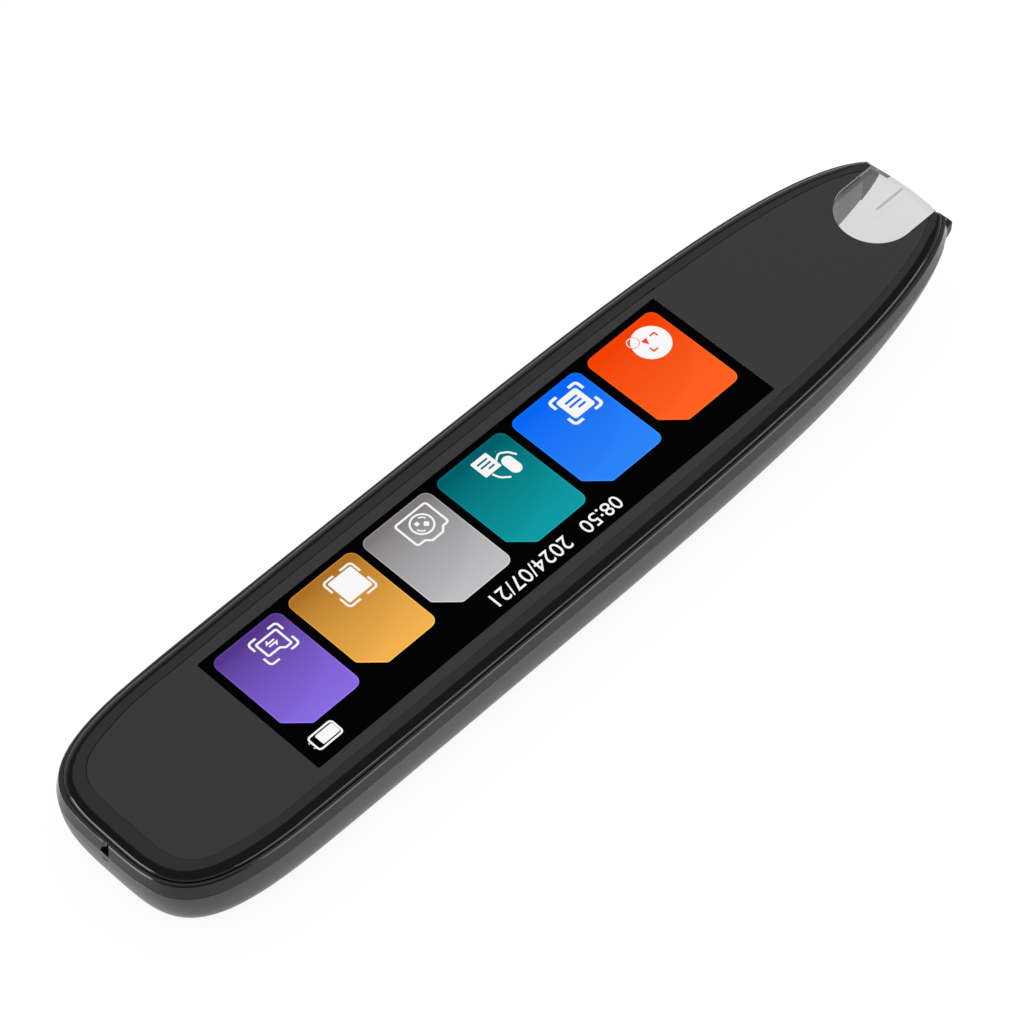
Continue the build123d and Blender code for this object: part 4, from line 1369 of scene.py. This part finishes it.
@dataclass(frozen=True)
class Tile:
    """One coloured tile of the screen's menu, in millimetres from the picture's middle.

    Attributes:
        name: The tile's colour, which names its pieces.
        rear: Its rear edge.
        front: Its front edge.
        low: Its edge towards the status line.
        high: Its far edge.
        deep: Tone at the far edge.
        bright: Tone at the edge towards the status line.
        sign: Its white sign.
        corner: Radius of its corners.
        cut: Legs of the cut-off corner.
        bend: Radius of the cut's ends.
        rim: Width of the lighter line round it.
    """

    name: str
    rear: float
    front: float
    low: float
    high: float
    deep: Colour
    bright: Colour
    sign: Sign
    corner: float = 1.3
    cut: float = 2.95
    bend: float = 0.6
    rim: float = 0.14

    def outline(self, inset: float = 0.0) -> list[Point]:
        """The tile's outline, anticlockwise from the cut-off corner.

        Args:
            inset: How far inside the tile's edge it runs.

        Returns:
            The outline's points.
        """
        rear, front = self.rear + inset, self.front - inset
        low, high = self.low + inset, self.high - inset
        corner = self.corner - inset
        return turned([
            (rear, low + self.cut, self.bend),
            (rear + self.cut, low, self.bend),
            (front, low, corner),
            (front, high, corner),
            (rear, high, corner),
        ])


@dataclass
class Screen:
    """The picture on the screen: six tiles with generic signs, the clock line and a battery.

    Paths and sizes of the picture are in millimetres from its middle.

    Attributes:
        film: Thickness of the picture's layers, in metres.
        line: Width of the signs' lines.
        bend: Radius of a bracket's corner.
        middle_x: Middle of the picture along X, in metres.
        base: Top of the cover, which the picture lies in, in metres.
        thin: Width of the lines inside a sign.
        glint: Width of the lens's glints.
        rim_deep: Factor on a tile's deep tone in the line round it.
        rim_bright: Factor on its bright tone there.
        roughness: Roughness of the lit areas.
    """

    film: float = 0.00001
    line: float = 0.32
    bend: float = 0.5
    middle_x: float = field(default_factory=picture_middle)
    base: float = field(default_factory=lambda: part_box("cover_lens")[1].z)
    thin: float = 0.24
    glint: float = 0.22
    rim_deep: float = 1.5
    rim_bright: float = 1.35
    roughness: float = 0.5

    def tiles(self) -> list[Tile]:
        """The six tiles, from the rear to the tip."""
        return [
            Tile("violet", -41.21, -29.41, -5.81, 10.25,
                 shade(85, 56, 140), shade(135, 105, 222), Sign.BUBBLE),
            Tile("amber", -28.0, -15.91, -5.97, 10.22,
                 shade(172, 114, 38), shade(240, 174, 78), Sign.SQUARE),
            Tile("grey", -14.59, -2.21, -6.12, 10.19,
                 shade(127, 123, 122), shade(188, 188, 192), Sign.CAMERA),
            Tile("teal", -0.9, 11.77, -6.28, 10.16,
                 shade(2, 96, 106), shade(16, 152, 160), Sign.SPEECH),
            Tile("blue", 13.2, 26.16, -6.43, 10.13,
                 shade(6, 103, 248), shade(44, 130, 246), Sign.LINES),
            Tile("orange", 27.7, 40.95, -6.59, 10.1,
                 shade(246, 64, 4), shade(252, 96, 34), Sign.GLOBE),
        ]

    def build(self) -> None:
        """Lay the tiles, their rims, the signs and the status line on the pane."""
        draw = {
            Sign.BUBBLE: self.bubble,
            Sign.SQUARE: self.square,
            Sign.CAMERA: self.camera,
            Sign.SPEECH: self.speech,
            Sign.LINES: self.lines,
            Sign.GLOBE: self.globe,
        }
        for tile in self.tiles():
            centre = self.spot(((tile.rear + tile.front) / 2, (tile.low + tile.high) / 2))
            face = plate(
                [self.spot(point) for point in tile.outline()],
                self.base - 2 * self.film,
                self.base + self.film,
            )
            settle(face, f"tile_{tile.name}")
            lit = Lit(
                f"lit_{tile.name}", tile.deep, self.roughness, bright=tile.bright, centre=centre
            )
            report(face, Body.HOUSING, lit)
            rim = self.path(tile.outline(tile.rim / 2), tile.rim, closed=True)
            glow = Lit(
                f"rim_light_{tile.name}", scaled(tile.deep, self.rim_deep), self.roughness,
                bright=scaled(tile.bright, self.rim_bright), centre=centre,
            )
            self.gather([rim], f"tile_rim_{tile.name}", glow)
            white, marks = draw[tile.sign]()
            self.gather(white, f"sign_{tile.name}", WHITE)
            if marks:
                self.gather(marks, f"mark_{tile.name}", lit)
        self.status_line()

    def spot(self, point: Point) -> Point:
        """A point of the picture, in metres in the part's frame."""
        return (self.middle_x + point[0] * MM, point[1] * MM)

    def path(
        self, points: list[Point], width: float, closed: bool = False, layers: int = 2
    ) -> Piece:
        """A line of the picture.

        Args:
            points: The line's path.
            width: Its width.
            closed: True if it closes on itself.
            layers: How many films it stands above the cover's top.

        Returns:
            The raised line.
        """
        return stroke(
            [self.spot(point) for point in points],
            width * MM, self.base, self.base + layers * self.film, closed,
        )

    def area(self, points: list[Point], layers: int = 2) -> Piece:
        """A filled area of the picture, so many films above the cover's top."""
        return plate(
            [self.spot(point) for point in points], self.base, self.base + layers * self.film
        )

    def brackets(
        self, rear: float, front: float, low: float, high: float, leg: float, width: float
    ) -> list[Piece]:
        """Four corner brackets.

        Args:
            rear: Rear edge of the rectangle that they mark.
            front: Its front edge.
            low: Its edge towards the status line.
            high: Its far edge.
            leg: Length of a bracket's legs.
            width: Width of its line.

        Returns:
            The brackets.
        """
        made = []
        for x, way in ((rear, 1), (front, -1)):
            for y, turn in ((low, 1), (high, -1)):
                corner = [(x, y + turn * leg, 0), (x, y, self.bend), (x + way * leg, y, 0)]
                made.append(self.path(turned(corner, closed=False), width))
        return made

    def bubble(self) -> Drawn:
        """A speech bubble with two opposite arrows, between brackets."""
        white = self.brackets(-35.88, -30.88, 4.38, 8.86, 1.45, self.line)
        edge = [
            (-35.15, 8.08, 0.2), (-35.15, 5.64, 0.2), (-33.2, 5.64, 0.1),
            (-32.6, 5.1, 0.1), (-31.6, 5.1, 0.2), (-31.6, 8.08, 0.2),
        ]
        white.append(self.path(turned(edge), self.line, closed=True))
        white.append(self.path([(-32.8, 7.12), (-34.1, 7.12), (-33.75, 7.56)], self.thin))
        white.append(self.path([(-34.1, 6.66), (-32.8, 6.66), (-33.15, 6.22)], self.thin))
        return white, []

    def square(self) -> Drawn:
        """A plain square between brackets."""
        white = self.brackets(-22.47, -17.48, 3.7, 8.86, 1.9, self.line)
        white.append(self.area(rounded((-19.93, 6.34), 4.16, 4.2, 0.25)))
        return white, []

    def camera(self) -> Drawn:
        """A camera's outline with its round lens."""
        edge = [
            (-9.42, 8.8, 0.4), (-9.42, 4.42, 0.4), (-8.12, 4.42, 0.2), (-7.42, 3.72, 0.2),
            (-5.5, 3.72, 0.2), (-4.78, 4.42, 0.2), (-3.75, 4.42, 0.4), (-3.75, 8.8, 0.4),
        ]
        lens = (-6.55, 6.56)
        white = [
            self.path(turned(edge), self.line, closed=True),
            self.path([(-8.9, 5.0), (-8.1, 5.0)], self.line),
            self.path(arc(lens, 1.63, 0, 350, 35), 0.28, closed=True),
            self.path(arc(lens, 1.12, 20, 75, 5), self.glint),
            self.path(arc(lens, 1.12, 190, 250, 5), self.glint),
            self.area(rounded((-7.02, 7.05), 0.6, 0.6, 0.1)),
            self.area(turned([
                (-6.08, 5.68, 0.08), (-5.58, 6.2, 0.08), (-6.08, 6.72, 0.08), (-6.6, 6.2, 0.08),
            ])),
        ]
        return white, []

    def speech(self) -> Drawn:
        """A sheet with rows on it beside a microphone, joined by a turning line."""
        cradle = [(7.7, 6.95, 0), (8.75, 7.62, 0.6), (9.85, 6.85, 1.2), (10.4, 5.75, 0)]
        tail = [(5.74, 5.72, 0), (6.1, 4.6, 1.2), (7.2, 3.65, 0)]
        white = [
            self.area(rounded((6.21, 7.4), 2.92, 3.04, 0.15)),
            self.area(rounded((8.74, 5.06), 1.78, 3.24, 0.88)),
            self.path(turned(cradle, closed=False), 0.3),
            self.path([(8.74, 7.35), (8.74, 8.15)], 0.28),
            self.path(turned(tail, closed=False), 0.3),
        ]
        rows = ((6.2, 8.1, 1.9), (6.2, 7.4, 1.9), (6.6, 6.7, 1.1))
        return white, [self.area(rounded((x, y), long, 0.3, 0.12), 3) for x, y, long in rows]

    def lines(self) -> Drawn:
        """A square with rows on it, between brackets."""
        white = self.brackets(19.48, 24.64, 3.6, 8.68, 1.45, 0.46)
        white.append(self.area(rounded((22.06, 6.17), 3.84, 3.84, 0.4)))
        rows = ((22.06, 7.0, 2.3), (22.06, 6.2, 2.3), (22.5, 5.4, 1.4))
        return white, [self.area(rounded((x, y), long, 0.36, 0.15), 3) for x, y, long in rows]

    def globe(self) -> Drawn:
        """A disc with a small badge and turning strokes."""
        badge = (34.88, 7.82)
        white = [
            self.area(arc((36.74, 6.08), 2.88, 0, 355, 60)),
            self.path(arc(badge, 0.82, 0, 350, 28), 0.14, closed=True, layers=4),
        ]
        marks = [
            self.path(arc(badge, 0.94, 0, 350, 28), 0.1, closed=True, layers=3),
            self.path([(37.4, 7.0), (38.25, 7.0), (38.25, 6.3)], 0.26, layers=3),
            self.path([(35.9, 5.6), (35.9, 4.8), (36.75, 4.8)], 0.26, layers=3),
            self.area([(35.8, 7.15), (36.3, 6.0), (36.85, 7.15)], 3),
        ]
        return white, marks

    def gather(self, parts: list[Piece], name: str, finish: Finish) -> None:
        """Join parts of the picture into one piece and dress it.

        Args:
            parts: The parts.
            name: The piece's name.
            finish: Its finish.
        """
        piece = settle(join(parts), name)
        with editing(piece):
            bpy.ops.mesh.normals_make_consistent(inside=False)
        report(piece, Body.HOUSING, finish)

    def figures(
        self, text: str, start: float, end: float, low: float, high: float
    ) -> Piece:
        """A row of figures, reading towards the tail.

        Args:
            text: The figures.
            start: Where they begin as they read.
            end: Where they end.
            low: Their tops, as they read.
            high: Their feet.

        Returns:
            The figures as a mesh.
        """
        clear_selection()
        bpy.ops.object.text_add()
        words = bpy.context.object
        words.data.body = text
        words.data.size = FIGURE_SIZE
        words.data.resolution_u = FIGURE_STEPS
        words.data.extrude = self.film
        bpy.ops.object.convert(target="MESH")
        words = bpy.context.object
        wide, tall, _ = words.dimensions
        xs = [vertex.co.x for vertex in words.data.vertices]
        ys = [vertex.co.y for vertex in words.data.vertices]
        shift = Vector(((max(xs) + min(xs)) / 2, (max(ys) + min(ys)) / 2, 0))
        for vertex in words.data.vertices:
            vertex.co -= shift
        words.scale = ((start - end) * MM / wide, (high - low) * MM / tall, 1)
        words.rotation_euler = (0, 0, math.pi)
        x, y = self.spot(((start + end) / 2, (low + high) / 2))
        words.location = (x, y, self.base + self.film)
        return words

    def status_line(self) -> None:
        """Lay the clock, the date and the battery along the right edge of the picture."""
        clock = self.figures("08:50", 14.5, 7.6, -10.2, -8.0)
        date = self.figures("2024/07/21", 5.1, -8.85, -10.1, -7.8)
        self.gather([clock, date], "clock_figures", WHITE)
        case = self.path(rounded((-38.5, -8.23), 4.1, 2.36, 0.45), 0.28, closed=True)
        knob = self.path([(-40.9, -7.75), (-40.9, -8.7)], 0.22)
        charge = self.area(rounded((-38.12, -8.23), 2.95, 1.66, 0.2))
        self.gather([case, knob, charge], "battery_sign", WHITE)


@dataclass
class ScanTip:
    """The guide line on the clear scan window.

    Attributes:
        start: Where the line begins along X.
        end: Where it ends.
        width: Its width.
        height: How far it stands on the window.
        root: How far it reaches into the window.
        corner: Radius of its corners, as a share of its width.
    """

    start: float = 0.0685
    end: float = 0.0740
    width: float = 0.00036
    height: float = 0.00003
    root: float = 0.00001
    corner: float = 0.45

    def build(self) -> None:
        """Raise the guide line on the window's top."""
        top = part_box("scan_window")[1].z
        middle = (self.start + self.end) / 2
        line = plate(
            rounded((middle, 0), self.end - self.start, self.width, self.width * self.corner),
            top - self.root,
            top + self.height,
        )
        settle(line, "guide_line")
        report(line, Body.HOUSING, GUIDE)


@dataclass
class Springs:
    """The shoe's return springs; the real ones shorten as the shoe slides in."""

    def build(self) -> None:
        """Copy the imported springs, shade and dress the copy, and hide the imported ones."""
        springs = copy_node("return_springs", "shoe_springs")
        smooth(springs)
        settle(springs, "shoe_springs")
        SPRING.dress(springs)
        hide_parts("return_springs")
        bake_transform(springs)
        log.info("%s gives between the housing and the shoe", springs.name)


@dataclass
class Port:
    """The contacts on the USB-C socket's tongue.

    Attributes:
        count: Contacts on each face of the tongue.
        pitch: Distance from contact to contact.
        width: A contact's width.
        reach: A contact's length.
        proud: How far a contact stands on the tongue.
        half: Half the tongue's thickness.
        inset: The contacts' ends behind the tongue's end.
        corner: Radius of a contact's corners.
    """

    count: int = 12
    pitch: float = 0.0005
    width: float = 0.0003
    reach: float = 0.0035
    proud: float = 0.00004
    half: float = 0.00035
    inset: float = 0.0003
    corner: float = 0.00008

    def build(self) -> None:
        """Model one contact, copy it along both faces and join the row."""
        low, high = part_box("usb_tongue")
        middle = (low + high) / 2
        y = high.y - self.inset - self.reach / 2
        contact = plate(rounded((0, 0), self.width, self.reach, self.corner), 0, self.proud)
        contacts = []
        for face in (-1, 1):
            bottom = middle.z + face * self.half - (self.proud if face < 0 else 0)
            for step in range(self.count):
                x = middle.x + (step - (self.count - 1) / 2) * self.pitch
                contacts.append(twin(contact))
                contacts[-1].location = (x, y, bottom)
        bpy.data.objects.remove(contact)
        piece = settle(join(contacts), "port_contacts")
        report(piece, Body.HOUSING, GOLD)


# ---------------------------------------------------------------------------- studio
@dataclass(frozen=True)
class Lamp:
    """A soft rectangular lamp that faces the object.

    Attributes:
        name: Its name.
        place: Where it hangs.
        size: Its length and width.
        brightness: Its brightness, 1 for a white wall's.
        mirrored_only: True if it only shows in gloss and lights nothing.
        steep: Height of a direction above which a lamp's length follows the object's.
    """

    name: str
    place: Place
    size: Point
    brightness: float
    mirrored_only: bool = False
    steep: float = 0.7

    def build(self) -> None:
        """Hang the lamp."""
        clear_selection()
        bpy.ops.object.light_add(type="AREA", location=self.place)
        lamp = bpy.context.object
        lamp.name = self.name
        lamp.data.shape = "RECTANGLE"
        lamp.data.size, lamp.data.size_y = self.size
        lamp.data.energy = self.brightness * math.pi * self.size[0] * self.size[1]
        lamp.visible_camera = False
        lamp.visible_diffuse = not self.mirrored_only
        back = Vector(self.place).normalized()
        across = Vector((0, 0, 1)).cross(back).normalized()
        if abs(back.z) > self.steep:
            across = (Vector((1, 0, 0)) - back * back.x).normalized()
        turn = Matrix((across, back.cross(across), back)).transposed()
        lamp.rotation_euler = turn.to_euler()


LAMPS = (
    Lamp("softbox", (0.456, 0.447, 0.858), (0.62, 0.26), 0.72),
    Lamp("right_strip", (0.43, -0.80, 0.42), (1.1, 0.26), 4.2, mirrored_only=True),
    Lamp("tail_strip", (-0.80, 0.42, 0.43), (0.7, 0.3), 8.0, mirrored_only=True),
)


@dataclass
class Studio:
    """The pale floor, the soft light and the camera.

    Attributes:
        floor_size: Side of the floor.
        floor_gap: How far the floor lies below the belly, so that the two never coincide.
        paper: The floor's colour for the light that falls on things.
        veil: Its colour for shadows, where it is seen or mirrored.
        glow: Its own brightness there.
        room: Strength of the even light that falls on the object.
        ceiling: Brightness of the ceiling where gloss mirrors it, 1 for white.
        ceiling_from: Height of a direction at which the ceiling begins, 1 for straight up.
        ceiling_full: Height at which it is all ceiling.
        lens: The camera's focal length, in millimetres.
        sensor: Width of its sensor, in millimetres.
        nearest: Nearest distance that it sees.
        farthest: Farthest distance.
        place: The camera's place.
        right: The picture's right in the part's frame.
        up: The picture's up.
        back: From the object towards the camera.
    """

    floor_size: float = 6.0
    floor_gap: float = 0.0001
    paper: Colour = (0.8, 0.8, 0.8)
    veil: Colour = (0.22, 0.22, 0.22)
    glow: float = 0.9
    room: float = 0.7
    ceiling: float = 0.3
    ceiling_from: float = 0.44
    ceiling_full: float = 0.6
    lens: float = 150.01
    sensor: float = 36.0
    nearest: float = 0.02
    farthest: float = 20.0
    place: Place = (-0.24297, -0.23459, 0.46175)
    right: Place = (0.70006, -0.71408, 0.0)
    up: Place = (0.57302, 0.56177, 0.59664)
    back: Place = (-0.42604, -0.41768, 0.80251)

    def floor(self) -> None:
        """Lay the pale floor, white where it is seen and mirrored, with a faint shadow."""
        clear_selection()
        bpy.ops.mesh.primitive_plane_add(size=self.floor_size, location=(0, 0, -self.floor_gap))
        floor = bpy.context.object
        floor.name = "floor"
        sheet = NodeSheet("floor_paper")
        paper = sheet.get("BSDF", "BsdfDiffuse", {"Color": self.paper})
        veil = sheet.get("BSDF", "BsdfDiffuse", {"Color": self.veil})
        glow = sheet.get("Emission", "Emission", {"Strength": self.glow})
        seen = sheet.get("Shader", "AddShader", {0: veil, 1: glow})
        rays = sheet.add("LightPath").outputs
        straight = sheet.maths("MAXIMUM", rays["Is Camera Ray"], rays["Is Glossy Ray"])
        watched = sheet.maths("MAXIMUM", straight, rays["Is Transmission Ray"])
        surface = sheet.tree.nodes["Material Output"].inputs["Surface"]
        sheet.feed(surface, sheet.shaders(watched, paper, seen))
        floor.data.materials.append(sheet.material)

    def surround(self) -> None:
        """Light the room evenly: white all round, with a dim ceiling in the mirror of gloss."""
        world = bpy.data.worlds.new("room")
        bpy.context.scene.world = world
        world.use_nodes = True
        room = Nodes(world.node_tree)
        room.tree.nodes.clear()
        height = room.axes(room.get("Generated", "TexCoord"))[2]
        ceiling = room.ramp(
            height, self.ceiling_from, self.ceiling_full, 1.0, self.ceiling,
            interpolation_type="SMOOTHSTEP",
        )
        even = room.get("Background", "Background", {"Strength": self.room})
        mirrored = room.get("Background", "Background", {"Strength": ceiling})
        seen = room.get("Background", "Background")
        rays = room.add("LightPath").outputs
        clear = room.maths("MAXIMUM", rays["Is Camera Ray"], rays["Is Transmission Ray"])
        gloss = room.shaders(rays["Is Glossy Ray"], even, mirrored)
        room.add("OutputWorld", {"Surface": room.shaders(clear, gloss, seen)})

    def camera(self) -> None:
        """Set the camera up and make it the scene's own."""
        data = bpy.data.cameras.new("camera")
        camera = bpy.data.objects.new("camera", data)
        bpy.context.scene.collection.objects.link(camera)
        data.sensor_width = self.sensor
        data.lens = self.lens
        data.clip_start = self.nearest
        data.clip_end = self.farthest
        turn = Matrix((self.right, self.up, self.back)).transposed()
        camera.matrix_world = Matrix.Translation(self.place) @ turn.to_4x4()
        bpy.context.scene.camera = camera

    def build(self) -> None:
        """Lay the floor, light the room and place the camera."""
        self.floor()
        self.surround()
        for lamp in LAMPS:
            lamp.build()
        self.camera()
        bpy.context.scene.view_settings.view_transform = "Standard"


def dress_nodes() -> None:
    """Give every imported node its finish."""
    for name, finish in NODE_FINISHES.items():
        finish.dress(frame["nodes"][name])
        log.info("%s dressed in %s", name, finish.name)


def main() -> None:
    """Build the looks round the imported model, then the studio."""
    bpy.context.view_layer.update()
    dress_nodes()
    for assembly in (Cover(), Rim(), Screen(), ScanTip(), Springs(), Port()):
        assembly.build()
        log.info("%s built", type(assembly).__name__)
    Studio().build()


if __name__ == "__main__":
    main()
